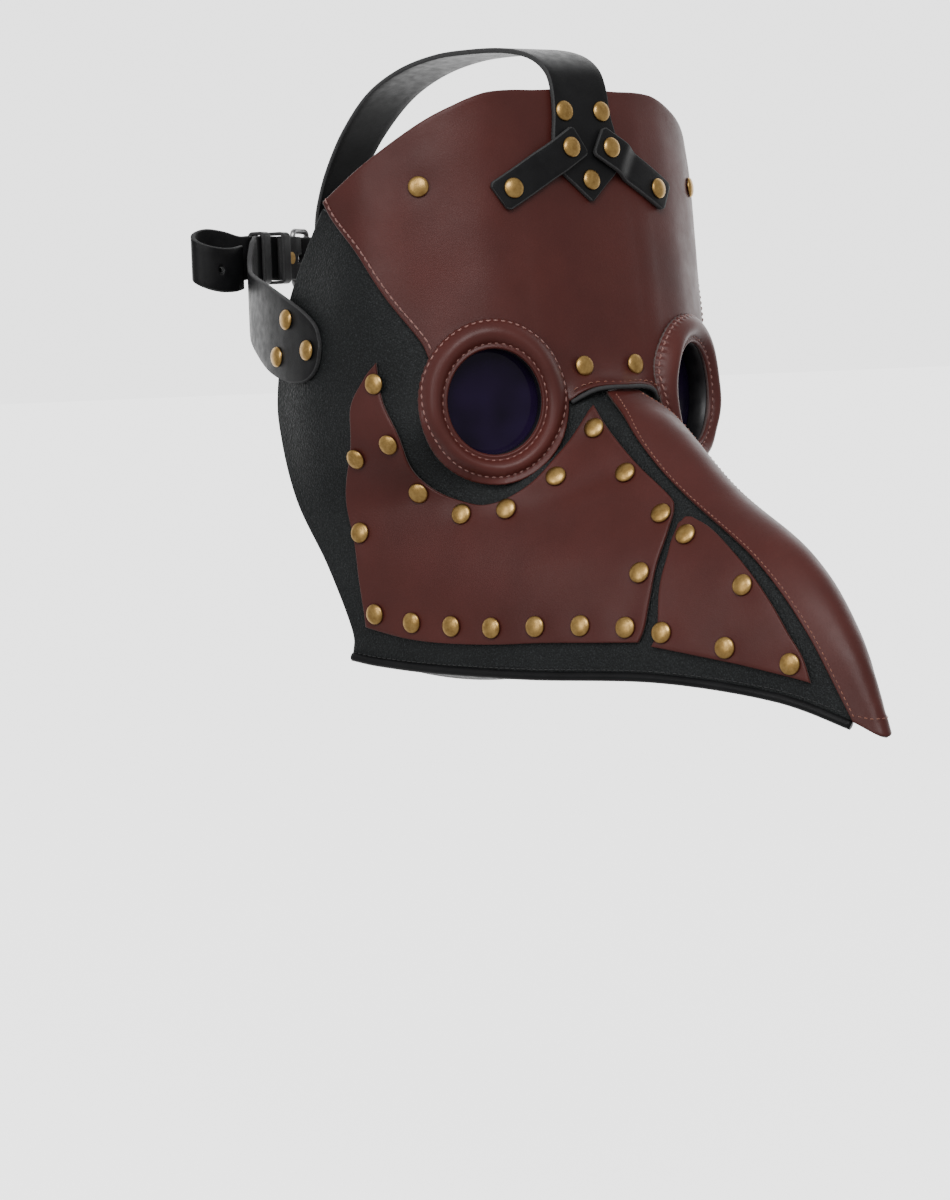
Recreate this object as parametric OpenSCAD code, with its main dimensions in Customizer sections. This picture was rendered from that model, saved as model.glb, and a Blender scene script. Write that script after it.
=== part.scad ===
// Plague doctor mask: stitched and riveted leather, with head straps and a pin buckle.
// Millimetres. Origin: between the wearer's eyes at the middle of the head. -Y is forward, +X is the wearer's left.

/* [Fit] */
// Half width of the mask at the temples
head_half_w = 87; // [80:1:94]
// How far the brow stands in front of the middle of the head
brow_forward = 100; // [94:1:106]
// How far the beak reaches in front of the brow
beak_reach = 146; // [110:1:170]

/* [Leather] */
// Thickness of the brown panels
panel_t = 1.6; // [1.2:0.1:1.8]
// Thickness of the black base panels
base_t = 1.6; // [1.2:0.1:2]
// Thickness of the straps
strap_t = 2; // [1.6:0.1:2.2]
// Air between two layers of strap
layer_gap = 0.3; // [0.2:0.05:0.4]
// Air between the brown panels and the base under them
panel_gap = 0.5; // [0.4:0.05:0.6]

/* [Eyes] */
// Distance of each eye's centre from the middle
eye_x = 49; // [46:0.5:52]
// Angle by which each eye faces outwards
eye_turn = 28; // [22:1:32]
// Half width of the hole in the eye ring
eye_rx = 18; // [15:0.5:19]
// Half height of the hole in the eye ring
eye_rz = 20; // [17:0.5:21]
// Width of the padded ring's leather
ring_w = 11; // [9:0.5:12]
// Depth of the black spacer behind the ring
spacer_depth = 7.5; // [5:0.5:9]

/* [Rivets] */
// Diameter of a rivet's domed cap
cap_d = 8; // [6:0.5:9]
// Height of the dome
cap_h = 1.8; // [1.2:0.1:2.4]
// Diameter of a rivet's post
post_d = 2.6; // [2:0.2:3]

/* [Straps] */
// Width of the rear strap
strap_w = 18; // [16:0.5:18]
// Height of the rear strap's middle at the back of the head
strap_z = 61; // [58:0.5:64]
// Diameter of the holes punched along the tail
hole_d = 2.4; // [2:0.1:2.6]

/* [Hidden] */

brown = "#5a2f2b";
black = "#1b1c1e";
brass_colour = "#a9803a";

// ---- The mask's skin ----
// Horizontal sections of the forehead are superellipses of this depth.
head_depth = 76;
function forward_at(z) = brow_forward - 0.147 * z;
function roundness(z) = 2.2 + 0.004 * max(z, 0);
function head_y(x, z) = let (n = roundness(z), w = min(abs(x) / head_half_w, 1))
    forward_at(z) - head_depth + head_depth * pow(1 - pow(w, n), 1 / n);
function head_row(z, widths) = [for (x = widths) [x, head_y(x, z), z]];
// Scales a point of the cheeks and beak with the driving sizes: y is the distance forward.
function fit(p) = [p.x * head_half_w / 87,
                   p.y < 100 ? p.y * brow_forward / 100 : brow_forward + (p.y - 100) * beak_reach / 146,
                   p.z];
function fit_row(row) = [for (p = row) fit(p)];

// Rows run from the middle of the face to the rear edge, and the rows follow each other from the top
// of the forehead down to the lower edge. A point is [half width, forward, height].
NET = [
    head_row(122, [0, 12, 20, 31, 43, 55, 65, 73]),
    head_row(84, [0, 12, 20, 31, 48, 66, 78.5, 84.5]),
    concat(head_row(42, [0, 12, 20, 31, 51, 72.5, 84]), [fit([84.8, 7, 42])]),
    concat(head_row(8, [0, 12, 20, 31, 51, 73]), fit_row([[86, 27, 8], [84.5, -4, 8]])),
    fit_row([[0, 131, -10], [12, 124, -11], [18, 110, -11], [29, 97, -12],
             [51, 86.5, -12], [73, 70, -12], [85, 27, -12], [84.5, -3, -12]]),
    fit_row([[0, 166, -36], [12, 156, -37], [20, 139, -37], [33, 115, -37],
             [52, 83, -37], [69, 50, -37], [80, 24, -37], [83.5, 5, -37]]),
    fit_row([[0, 206, -59], [12, 196, -61], [21, 174, -62], [35, 142, -62],
             [54, 99, -62], [69, 60, -62], [77, 34, -62], [80.5, 20, -62]]),
    fit_row([[0, 230, -87], [9.8, 221, -87], [20, 198, -87], [35, 160, -87],
             [54, 110, -87], [67, 67, -87], [74, 42, -87], [77, 30, -87]]),
    fit_row([[0, 246, -121], [5.4, 237.5, -118], [17, 209, -108], [34, 164, -102],
             [53, 112, -102], [65, 70, -101], [72, 42, -99], [75.5, 28, -97]])
];
bottom_row = len(NET) - 1;

// A smooth curve through the points of P: u counts points from the first.
function blend4(a, b, c, d, t) =
    0.5 * (2 * b + (c - a) * t + (2 * a - 5 * b + 4 * c - d) * t * t + (3 * b - a - 3 * c + d) * t * t * t);
function before(P, i, mirrored) = i > 0 ? P[i - 1] : mirrored ? [-P[1].x, P[1].y, P[1].z] : 2 * P[0] - P[1];
function after(P, i) = i + 2 < len(P) ? P[i + 2] : 2 * P[len(P) - 1] - P[len(P) - 2];
function curve(P, u, mirrored = false) = let (i = min(max(floor(u), 0), len(P) - 2))
    blend4(before(P, i, mirrored), P[i], P[i + 1], after(P, i), u - i);
// The same curve with x running from 0 to 1.
function along(P, x) = curve(P, x * (len(P) - 1));

// A place on the skin: s counts the net's columns from the middle, t its rows from the top.
function half_skin(s, t) = let (q = curve([for (row = NET) curve(row, s, true)], t)) [q.x, -q.y, q.z];
function skin(s, t) = let (q = half_skin(abs(s), t)) [s < 0 ? -q.x : q.x, q.y, q.z];
function unit(v) = v / norm(v);
step = 0.02;
function skin_normal(s, t) =
    unit(cross(skin(s, t + step) - skin(s, t - step), skin(s + step, t) - skin(s - step, t)));
function lifted(s, t, lift) = skin(s, t) + skin_normal(s, t) * lift;

// ---- Sheets ----
// A closed sheet between two grids of points with the same rows and columns.
module sheet(outer, inner) {
    rows = len(outer);
    cols = len(outer[0]);
    count = rows * cols;
    function at(r, c) = r * cols + c;
    polyhedron(
        points = concat([for (row = outer, p = row) p], [for (row = inner, p = row) p]),
        faces = concat(
            [for (r = [0 : rows - 2], c = [0 : cols - 2]) each [
                [at(r, c), at(r, c + 1), at(r + 1, c + 1)], [at(r, c), at(r + 1, c + 1), at(r + 1, c)],
                [count + at(r, c), count + at(r + 1, c + 1), count + at(r, c + 1)],
                [count + at(r, c), count + at(r + 1, c), count + at(r + 1, c + 1)]]],
            [for (c = [0 : cols - 2]) each [
                [at(0, c + 1), at(0, c), count + at(0, c)],
                [at(0, c + 1), count + at(0, c), count + at(0, c + 1)],
                [at(rows - 1, c), at(rows - 1, c + 1), count + at(rows - 1, c + 1)],
                [at(rows - 1, c), count + at(rows - 1, c + 1), count + at(rows - 1, c)]]],
            [for (r = [0 : rows - 2]) each [
                [at(r, 0), at(r + 1, 0), count + at(r + 1, 0)],
                [at(r, 0), count + at(r + 1, 0), count + at(r, 0)],
                [at(r + 1, cols - 1), at(r, cols - 1), count + at(r, cols - 1)],
                [at(r + 1, cols - 1), count + at(r, cols - 1), count + at(r + 1, cols - 1)]]]));
}

// A place between four edge curves, given as [top, bottom, start, end] in net places.
function between(edges, u, v) =
    let (top = edges[0], bottom = edges[1], first = edges[2], last = edges[3])
    (1 - v) * along(top, u) + v * along(bottom, u) + (1 - u) * along(first, v) + u * along(last, v)
    - (1 - u) * (1 - v) * top[0] - u * (1 - v) * top[len(top) - 1]
    - (1 - u) * v * bottom[0] - u * v * bottom[len(bottom) - 1];

// One half panel on the wearer's left. across and down are the numbers of cells.
module panel(edges, across, down, low, high) {
    function grid(lift) = [for (j = [0 : down]) [for (i = [0 : across])
        let (p = between(edges, i / across, j / down)) lifted(p.x, p.y, lift)]];
    sheet(grid(low), grid(high));
}

// A panel that crosses the middle. Its edges start at the middle. extra(u, v) is more lift.
module wide_panel(edges, across, down, low, high, lip = 0, v_range = [0, 1], u_end = 1) {
    function raise(s, v) = lip * pow(max(0, (v - 0.8) / 0.2), 2) * max(0, 1 - pow(s / 2.6, 2));
    function place(u, v) = let (p = between(edges, abs(u), v)) [u < 0 ? -p.x : p.x, p.y];
    function grid(lift) = [for (j = [0 : down]) [for (i = [-across : across])
        let (v = v_range[0] + (v_range[1] - v_range[0]) * j / down, p = place(u_end * i / across, v))
        lifted(p.x, p.y, lift + raise(abs(p.x), v))]];
    sheet(grid(low), grid(high));
}

module right() { mirror([1, 0, 0]) children(); }

// ---- Outlines, in net places ----
forehead_edges = [
    [[0, 0.06], [1, 0.09], [2, 0.1], [2.8, 0.1], [3.4, 0.11], [3.9, 0.14], [4.5, 0.23], [5.3, 0.42],
     [6.2, 0.78], [7, 1.13]],
    [[0, 3.34], [0.9, 3.3], [1.75, 3.36], [2.3, 3.46], [2.62, 3.3], [2.78, 3], [3.05, 2.7], [3.5, 2.5],
     [4, 2.46], [4.4, 2.54], [4.72, 2.71]],
    [[0, 0.06], [0, 3.34]],
    [[7, 1.13], [6.1, 1.5], [5.5, 1.87], [5.05, 2.22], [4.8, 2.5], [4.72, 2.71]]
];
base_edges = [
    [[7, 1.2], [6.2, 1.4], [5.5, 1.75], [5.02, 2.05], [4.74, 2.36], [4.64, 2.62], [4.7, 3], [4.76, 3.45],
     [4.62, 4], [4.3, 4.42], [3.95, 4.56], [3.55, 4.5], [3.2, 4.25], [2.8, 3.7], [2.3, 3.32], [1.7, 3.2],
     [0.85, 3.14], [0.3, 3.16]],
    [[7, 7.96], [5, 7.96], [3, 7.96], [0.4, 7.96]],
    [[7, 1.2], [7, 3.5], [7, 5.8], [7, 7.96]],
    [[0.3, 3.16], [0.6, 3.8], [0.66, 4.5], [0.66, 6], [0.66, 7.4], [0.4, 7.96]]
];
cheek_edges = [
    [[5.34, 2.72], [5.22, 3.72], [5, 4.32], [4.6, 4.75], [4.17, 5.03], [3.88, 5.08], [3.48, 4.85], [3, 4.43],
     [2.4, 4.05], [1.8, 3.72], [1.43, 3.58]],
    [[6.19, 6.93], [5.7, 7.05], [5.26, 7.17], [4.8, 7.24], [4.3, 7.24], [3.86, 7.18], [3.4, 7.16], [3.1, 7.14]],
    [[5.34, 2.72], [5.46, 2.92], [5.6, 3.45], [5.65, 4.56], [5.73, 5.46], [5.96, 6.24], [6.19, 6.93]],
    [[1.43, 3.58], [1.57, 3.97], [1.51, 4.51], [1.38, 4.84], [1.36, 5.06], [1.53, 5.2], [2, 5.5], [2.5, 5.95],
     [2.84, 6.5], [3.1, 7.14]]
];
beak_edges = [
    [[1.6, 5.37], [1.46, 5.32], [1.32, 5.33]],
    [[3, 7.22], [2.62, 7.38], [2.3, 7.48], [1.9, 7.57], [1.44, 7.6]],
    [[1.6, 5.37], [1.8, 5.45], [2.21, 5.75], [2.67, 6.33], [3, 7.22]],
    [[1.32, 5.33], [1.21, 5.5], [1.26, 5.85], [1.3, 6.24], [1.34, 6.63], [1.38, 6.96], [1.37, 7.25], [1.44, 7.6]]
];
bridge_edges = [
    [[0, 3.3], [0.3, 3.31], [0.6, 3.33]],
    [[0, 8.04], [0.5, 8.02], [1, 7.96]],
    [[0, 3.3], [0, 8.04]],
    [[0.6, 3.33], [0.84, 3.74], [1.02, 4.15], [1.05, 4.6], [1, 5.1], [1.02, 5.8], [1.04, 6.6], [1.05, 7.3],
     [1, 7.96]]
];

panel_low = panel_gap;
panel_high = panel_gap + panel_t;
brow_lip = 2.6;

// ---- Rivets ----
cheek_rivet_places = [
    [5.34, 2.99], [5.23, 4.1], [5.55, 4.32], [5.57, 5.49], [4.67, 4.86], [4.21, 5.23], [3.73, 5.17],
    [3.08, 4.72], [1.94, 4.05], [1.92, 4.7], [1.87, 5.28], [2.77, 6.11],
    [5.8, 6.7], [5.15, 6.83], [4.66, 6.88], [4.26, 6.9], [3.86, 6.87], [3.5, 6.85], [3.15, 6.87]
];
beak_rivet_places = [[1.79, 5.58], [1.57, 6.29], [2.85, 6.95], [2.3, 7.19], [1.6, 7.37]];
// On the forehead: [half width, height]
temple_rivet = [66, 82];
bridge_rivet = [12.5, 12];
strap_rivets = [[9, 109.5], [9.7, 95]];
arm_rivet = [34.8, 80];
tab_rivet = [0, 83];

// Puts children on the skin's outside, their +Z along the outward normal.
module on_skin(place, lift = 0) {
    n = skin_normal(place.x, place.y);
    translate(lifted(place.x, place.y, lift))
        rotate([0, acos(n.z), atan2(n.y, n.x)]) children();
}
// The same for a place on the forehead given by half width and height.
function head_point(x, z, lift) =
    let (e = 0.5,
         a = [2 * e, -(head_y(x + e, z) - head_y(x - e, z)), 0],
         b = [0, -(head_y(x, z + e) - head_y(x, z - e)), 2 * e],
         n = unit(cross(a, b)))
    [x, -head_y(x, z), z] + n * lift;
module on_head(x, z, lift = 0) {
    n = unit(head_point(x, z, 1) - head_point(x, z, 0));
    translate(head_point(x, z, lift)) rotate([0, acos(n.z), atan2(n.y, n.x)]) children();
}
// A domed cap with its post. grip is the thickness that the post passes through.
module rivet(grip) {
    lip = 0.35;
    rotate_extrude($fn = 32) polygon(concat(
        [[0, -grip], [post_d / 2, -grip], [post_d / 2, 0], [cap_d / 2, 0], [cap_d / 2, lip]],
        [for (a = [15 : 15 : 75]) [cos(a) * cap_d / 2, lip + sin(a) * (cap_h - lip)]],
        [[0, cap_h]]));
}
// The flat washer that closes the post on the inside.
module rivet_back(grip) {
    back_d = 0.85 * cap_d;
    back_t = 0.8;
    translate([0, 0, -grip - back_t]) cylinder(d = back_d, h = back_t, $fn = 32);
}
post_clearance = 0.05;
module post_hole() { cylinder(d = post_d + 2 * post_clearance, h = 14, center = true, $fn = 24); }

cap_seat = panel_high + 0.02;
back_gap = 0.02;
panel_grip = cap_seat + base_t + back_gap;

module side_holes() {
    for (p = concat(cheek_rivet_places, beak_rivet_places)) on_skin(p) post_hole();
}
module brow_holes() {
    for (side = [-1, 1]) {
        for (p = [temple_rivet, bridge_rivet, strap_rivets[0], strap_rivets[1], arm_rivet])
            on_head(side * p.x, p.y) post_hole();
    }
    on_head(tab_rivet.x, tab_rivet.y) post_hole();
}

// ---- Leather panels ----
module forehead_panel() {
    color(brown) difference() {
        wide_panel(forehead_edges, 24, 12, panel_low, panel_high, brow_lip);
        brow_holes();
    }
}
module forehead_lining() {
    color(black) difference() {
        wide_panel(forehead_edges, 14, 7, -1.2, -0.1, 0, [0.03, 0.86], 0.84);
        brow_holes();
    }
}
module brow_welt() {
    reach = 2.15;
    pieces = 24;
    radius = 1.1;
    lip_lift = panel_low + brow_lip + panel_t / 2;
    function spot(s) = let (a = abs(s), t = along(forehead_edges[1], a * 0.12).y)
        lifted(s, t + 0.06, lip_lift - 0.9 * pow(a / reach, 2) * brow_lip);
    color(black) tube([for (i = [0 : pieces]) spot(-reach + 2 * reach * i / pieces)], radius, 8);
}
module left_base_panel() {
    color(black) difference() {
        panel(base_edges, 34, 20, -base_t, 0);
        side_holes();
        for (p = side_strap_rivet_places) on_skin(p) post_hole();
    }
}
module right_base_panel() { right() left_base_panel(); }
module left_cheek_panel() {
    color(brown) difference() {
        panel(cheek_edges, 22, 15, panel_low, panel_high);
        side_holes();
    }
}
module right_cheek_panel() { right() left_cheek_panel(); }
module left_beak_panel() {
    color(brown) difference() {
        panel(beak_edges, 8, 12, panel_low, panel_high);
        side_holes();
    }
}
module right_beak_panel() { right() left_beak_panel(); }
module beak_bridge_panel() {
    color(brown) wide_panel(bridge_edges, 6, 26, panel_low, panel_high);
}
// Closes the beak from below and hangs under the chin.
module beak_underside() {
    start_s = 6.4;
    end_s = 0.6;
    chin_sag = 14;
    rows = 20;
    cols = 12;
    inset = base_t + layer_gap + 0.4;
    function edge_point(v) = lifted(start_s + (end_s - start_s) * v, 7.9, -inset);
    function sag(v) = chin_sag * pow(1 - v, 1.5);
    function spot(u, v, lift) = let (e = edge_point(v))
        [e.x * u, e.y, e.z - sag(v) * (1 - u * u) + lift];
    function grid(lift) = [for (j = [0 : rows]) [for (i = [0 : cols]) spot(2 * i / cols - 1, j / rows, lift)]];
    color(black) sheet(grid(0), grid(-base_t));
}
// A round tube along points. sides is the number of flat sides.
module tube(points, radius, sides) {
    n = len(points);
    function tangent(i) = unit(points[min(i + 1, n - 1)] - points[max(i - 1, 0)]);
    function ring_at(i) = let (t = tangent(i), a = unit(cross([0, 0, 1], t)), b = cross(t, a))
        [for (k = [0 : sides - 1]) points[i] + radius * (cos(360 * k / sides) * a + sin(360 * k / sides) * b)];
    polyhedron(
        points = [for (i = [0 : n - 1]) each ring_at(i)],
        faces = concat(
            [[for (k = [0 : sides - 1]) k]],
            [for (i = [0 : n - 2], k = [0 : sides - 1]) each [
                [i * sides + k, (i + 1) * sides + k, (i + 1) * sides + (k + 1) % sides],
                [i * sides + k, (i + 1) * sides + (k + 1) % sides, i * sides + (k + 1) % sides]]],
            [[for (k = [sides - 1 : -1 : 0]) (n - 1) * sides + k]]));
}
module left_edge_binding() {
    radius = 1.8;
    pieces = 36;
    sink = 0.3;
    drop = 1;
    rear = 6.98;
    front = 1.08;
    row = bottom_row - 0.02;
    function spot(i) = lifted(rear + (front - rear) * i / pieces, row, -sink) - [0, 0, drop];
    color(black) tube([for (i = [0 : pieces]) spot(i)], radius, 8);
}
module right_edge_binding() { right() left_edge_binding(); }

// ---- Eyes ----
eye_y = -90.2;
ring_back = -0.4;
// Local frame of the left eye: +Z is the outward direction, +Y is up.
module at_eye() {
    translate([eye_x, eye_y, 0]) rotate([0, 0, eye_turn]) rotate([90, 0, 0]) children();
}
function oval(rx, rz, n) = [for (k = [0 : n - 1]) [rx * cos(360 * k / n), rz * sin(360 * k / n)]];
module oval_ring(rx, rz, wall, low, high) {
    translate([0, 0, low]) linear_extrude(height = high - low) difference() {
        polygon(oval(rx + wall, rz + wall, 48));
        polygon(oval(rx, rz, 48));
    }
}
// Height of the skin above the eye's plane, under a point of that plane.
function in_eye(p) = let (d = p - [eye_x, eye_y, 0], c = cos(eye_turn), k = sin(eye_turn))
    [d.x * c + d.y * k, d.z, d.x * k - d.y * c];
function under_eye(target, s, t, tries) =
    let (p = in_eye(skin(s, t)), ps = (in_eye(skin(s + step, t)) - p) / step,
         pt = (in_eye(skin(s, t + step)) - p) / step, det = ps.x * pt.y - ps.y * pt.x,
         dx = target.x - p.x, dy = target.y - p.y)
    tries == 0 ? p.z
    : under_eye(target, s + (dx * pt.y - dy * pt.x) / det, t + (ps.x * dy - ps.y * dx) / det, tries - 1);
function skin_height(x, y) = under_eye([x, y], 3.9 + 0.045 * x, 3.25 - 0.03 * y, 5);
ring_rise = 1.05;
ring_low = -5;
ring_high = 1.5;
// The ring lies level by the hole and bends down to the skin further out.
level_part = 0.24;
function bend(share) = pow(max(0, share - level_part) / (1 - level_part), 2);
module left_eye_ring() {
    around = 48;
    // Across the ring: [share of its width, height]
    section = [[0, -0.4], [0, 1.6], [0.1, 2.7], [0.3, 3.7], [0.55, 4], [0.8, 3.3], [0.96, 2], [1, 1],
               [1, -0.4], [0.6, -0.4], [level_part, -0.4]];
    n = len(section);
    function rim(a) = [(eye_rx + ring_w) * cos(a), (eye_rz + ring_w * ring_rise) * sin(a)];
    drops = [for (k = [0 : around - 1]) let (r = rim(360 * k / around))
        min(max(skin_height(r.x, r.y) + panel_high + layer_gap, ring_low), ring_high)];
    points = [for (k = [0 : around - 1], q = section)
        let (a = 360 * k / around, wide = q.x * ring_w)
        [(eye_rx + wide) * cos(a), (eye_rz + wide * ring_rise) * sin(a), q.y + drops[k] * bend(q.x)]];
    faces = [for (k = [0 : around - 1], j = [0 : n - 1])
        let (k2 = (k + 1) % around, j2 = (j + 1) % n)
        each [[k * n + j, k * n + j2, k2 * n + j2], [k * n + j, k2 * n + j2, k2 * n + j]]];
    color(brown) at_eye() polyhedron(points = points, faces = faces);
}
module right_eye_ring() { right() left_eye_ring(); }
wall_t = 2.2;
spacer_top = ring_back - 0.05;
spacer_base = spacer_top - spacer_depth;
lens_t = 1.5;
module left_lens_spacer() {
    color(black) at_eye() oval_ring(eye_rx, eye_rz, wall_t, spacer_base, spacer_top);
}
module right_lens_spacer() { right() left_lens_spacer(); }
module left_lens() {
    color("#1c1440") at_eye() translate([0, 0, spacer_base - 0.05 - lens_t])
        linear_extrude(height = lens_t) polygon(oval(eye_rx + wall_t - 0.2, eye_rz + wall_t - 0.2, 48));
}
module right_lens() { right() left_lens(); }
module left_lens_retainer() {
    top = spacer_base - lens_t - 0.1;
    color(black) at_eye() oval_ring(eye_rx, eye_rz, wall_t, top - 2, top);
}
module right_lens_retainer() { right() left_lens_retainer(); }

// ---- Straps over the head ----
strap_lift = panel_high + layer_gap;
arm_lift = strap_lift + strap_t + 2 * layer_gap;
// The top strap's middle line: [half width, forward, height].
function on_brow(half_w, z) = [half_w, forward_at(z) + strap_lift + strap_t / 2, z];
top_strap_line = concat(
    [on_brow(0.6, 75.5), on_brow(7.5, 81.5), on_brow(14.5, 88), on_brow(16, 97), on_brow(14, 109)],
    [[13.5, 85.6, 120], [13.5, 81.5, 127], [13.5, 72, 132.5], [13.5, 56, 136], [13.5, 34, 137.5],
     [13, 10, 137.5], [12.5, -15, 134], [12, -38, 126], [11, -58, 112], [10, -72, 97], [9, -80, 85],
     [9, -82.6, 76], [9, -82.8, 66], [9, -82.8, 54], [9, -82, 49.5], [9, -80, 47.6], [9, -77.8, 49.5],
     [9, -77, 54], [9, -77, 66], [9, -77.6, 80]]);
module top_strap() {
    fine = 2;
    n = (len(top_strap_line) - 1) * fine;
    function point(i) = curve(top_strap_line, i / fine);
    function side(i) = let (d = point(min(i + 1, n)) - point(max(i - 1, 0))) unit([0, d.z, -d.y]);
    function edge(i, lift) = let (p = point(i), m = side(i))
        [for (x = [-p.x, 0, p.x]) [x, -(p.y + m.y * lift), p.z + m.z * lift]];
    color(black) difference() {
        sheet([for (i = [0 : n]) edge(i, -strap_t / 2)], [for (i = [0 : n]) edge(i, strap_t / 2)]);
        brow_holes();
        rear_rivet_at() cylinder(d = post_d + 0.1, h = 14, center = true, $fn = 24);
    }
}
module left_strap_arm() {
    // Corners around the two rivets, as [half width, height]
    along_arm = unit([arm_rivet.x - strap_rivets[1].x, arm_rivet.y - strap_rivets[1].y]);
    across_arm = [-along_arm.y, along_arm.x];
    half_w = 6.5;
    start = strap_rivets[1] - 6 * along_arm;
    length = norm(arm_rivet - strap_rivets[1]) + 12.5;
    cells = 14;
    function lift_at(x) = let (k = min(max((x - 15) / 7, 0), 1))
        arm_lift + (strap_lift - arm_lift) * k * k * (3 - 2 * k);
    function spot(i, w, lift) = let (p = start + along_arm * length * i / cells + across_arm * w * half_w)
        head_point(p.x, p.y, lift_at(p.x) + lift);
    function grid(lift) = [for (i = [0 : cells]) [for (w = [-1 : 0.5 : 1]) spot(i, w, lift)]];
    color(black) difference() {
        sheet(grid(strap_t), grid(0));
        brow_holes();
    }
}
module right_strap_arm() { right() left_strap_arm(); }

// ---- Straps round the head ----
// Plan of the head behind the temples: an ellipse. angle 0 is the side, 90 the back.
ring_a = 88.6;
ring_b = 98;
ring_y = -18;
function ring_point(angle, lift = 0) =
    [(ring_a + lift) * cos(angle), ring_y + (ring_b + lift) * sin(angle)];
// The wide end's outline: [angle, lower edge, upper edge]
strap_end = [[-7.5, 22, 26], [-6.5, 16, 31], [-4, 11.5, 35], [0, 9.5, 39], [7, 10.5, 44], [16, 15, 49],
             [28, 24, 53.5], [36, 29.5, 57.5], [41, 35.5, 62.5], [46, 44.5, 67.5]];
// A net place and how far the cap stands off the skin.
side_strap_rivet_places = [[6.79, 2.21, 4], [6.88, 2.61, 3.25], [6.27, 2.55, 2.9]];
// A band along a plan line. Each entry is [x, y, lower edge, upper edge].
module band(line, thickness) {
    n = len(line);
    function plan(i) = [line[i][0], line[i][1]];
    function normal(i) = let (d = plan(min(i + 1, n - 1)) - plan(max(i - 1, 0))) unit([d.y, -d.x]);
    function edge(i, lift) = let (p = plan(i) + normal(i) * lift)
        [[p.x, p.y, line[i][2]], [p.x, p.y, line[i][3]]];
    sheet([for (i = [0 : n - 1]) edge(i, thickness / 2)], [for (i = [0 : n - 1]) edge(i, -thickness / 2)]);
}
// A finer line: every point of a smooth curve through the given entries.
function smooth(line, fine) = [for (i = [0 : (len(line) - 1) * fine]) curve(line, i / fine)];
// The ends lie closer to the mask than the rest.
settle_depth = 0.6;
function settle(angle) = -settle_depth * min(1, max(0, (30 - angle) / 16));
function end_line(side) = [for (e = strap_end) let (p = ring_point(e[0], settle(e[0])))
    [side * p.x, p.y, e[1], e[2]]];

// The buckle's local frame: +X along the tail towards the wearer's right, +Y away from the head.
buckle_at = [-28.6, 71.4, strap_z];
buckle_turn = 206;
module at_buckle() { translate(buckle_at) rotate([0, 0, buckle_turn]) mirror([0, 1, 0]) children(); }
function from_buckle(x, y) = [buckle_at.x + x * cos(buckle_turn) + y * sin(buckle_turn),
                              buckle_at.y + x * sin(buckle_turn) - y * cos(buckle_turn)];
bar_r = 1.2;
fold_r = bar_r + layer_gap + strap_t / 2;
window_x = -13;
lower = strap_z - strap_w / 2;
upper = strap_z + strap_w / 2;
function level(x, y) = let (p = from_buckle(x, y)) [p.x, p.y, lower, upper];

module right_side_strap() {
    tab = smooth(end_line(-1), 2);
    run = smooth([level(32, 0), level(26, 0), level(17, 0.1), level(10, 0.9), level(5, 2), level(0, fold_r)], 2);
    fold = [for (a = [60 : -30 : -90]) level(-fold_r * cos(a), fold_r * sin(a))];
    flap = smooth([level(3, -fold_r), level(8, -2), level(15, -2.2)], 2);
    color(black) difference() {
        band(concat(tab, run, fold, flap), strap_t);
        for (p = side_strap_rivet_places) right() on_skin(p) post_hole();
        at_buckle() {
            // Slot that lets the prong through at the fold
            translate([-2.5, 0, 0]) cube([9, 12, 3.6], center = true);
            buckle_rivet_hole();
        }
    }
}
// Middle line of the tail where it passes the buckle: [along, out].
tail_at_buckle = [[-24, -1.9], [-18, -2], [-13, -1.85], [-9, -1.7], [-5.2, 1.1], [-1.6, 4.6], [3, 5],
                  [8, 4.7], [13, 3.5], [18, 2.6], [24, 2.4], [30, 2.4], [34, 2.4]];
module left_side_strap() {
    side = smooth(end_line(1), 2);
    back = [for (a = [52 : 6 : 94]) let (p = ring_point(a)) [p.x, p.y, lower, upper]];
    buckle = smooth([for (q = tail_at_buckle) level(q.x, q.y)], 2);
    loop_line = smooth([[-64, 59, 52, 70], [-71, 59.6, 54, 72], [-79, 60, 55, 73], [-85, 59, 53.5, 71.5],
                   [-87.5, 55.5, 51, 69], [-85, 51.5, 48.5, 66.5], [-79, 50, 47, 65], [-72, 51, 47, 65],
                   [-66, 54.2, 48, 66]], 3);
    color(black) difference() {
        band(concat(side, back, buckle, loop_line), strap_t);
        for (p = side_strap_rivet_places) on_skin(p) post_hole();
        // Slot that the prong stands in, stretched by use
        at_buckle() translate([-4.9, 1.4, 0]) rotate([0, 0, 45]) cube([6.8, 5, 2.6], center = true);
        tail_holes();
    }
}
module tail_holes() {
    for (q = [[-79, 60, 64, 90], [-79, 50, 56, 90]])
        translate([q[0], q[1], q[2]]) rotate([90, 0, 0]) cylinder(d = hole_d, h = 6, center = true, $fn = 24);
}

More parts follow.
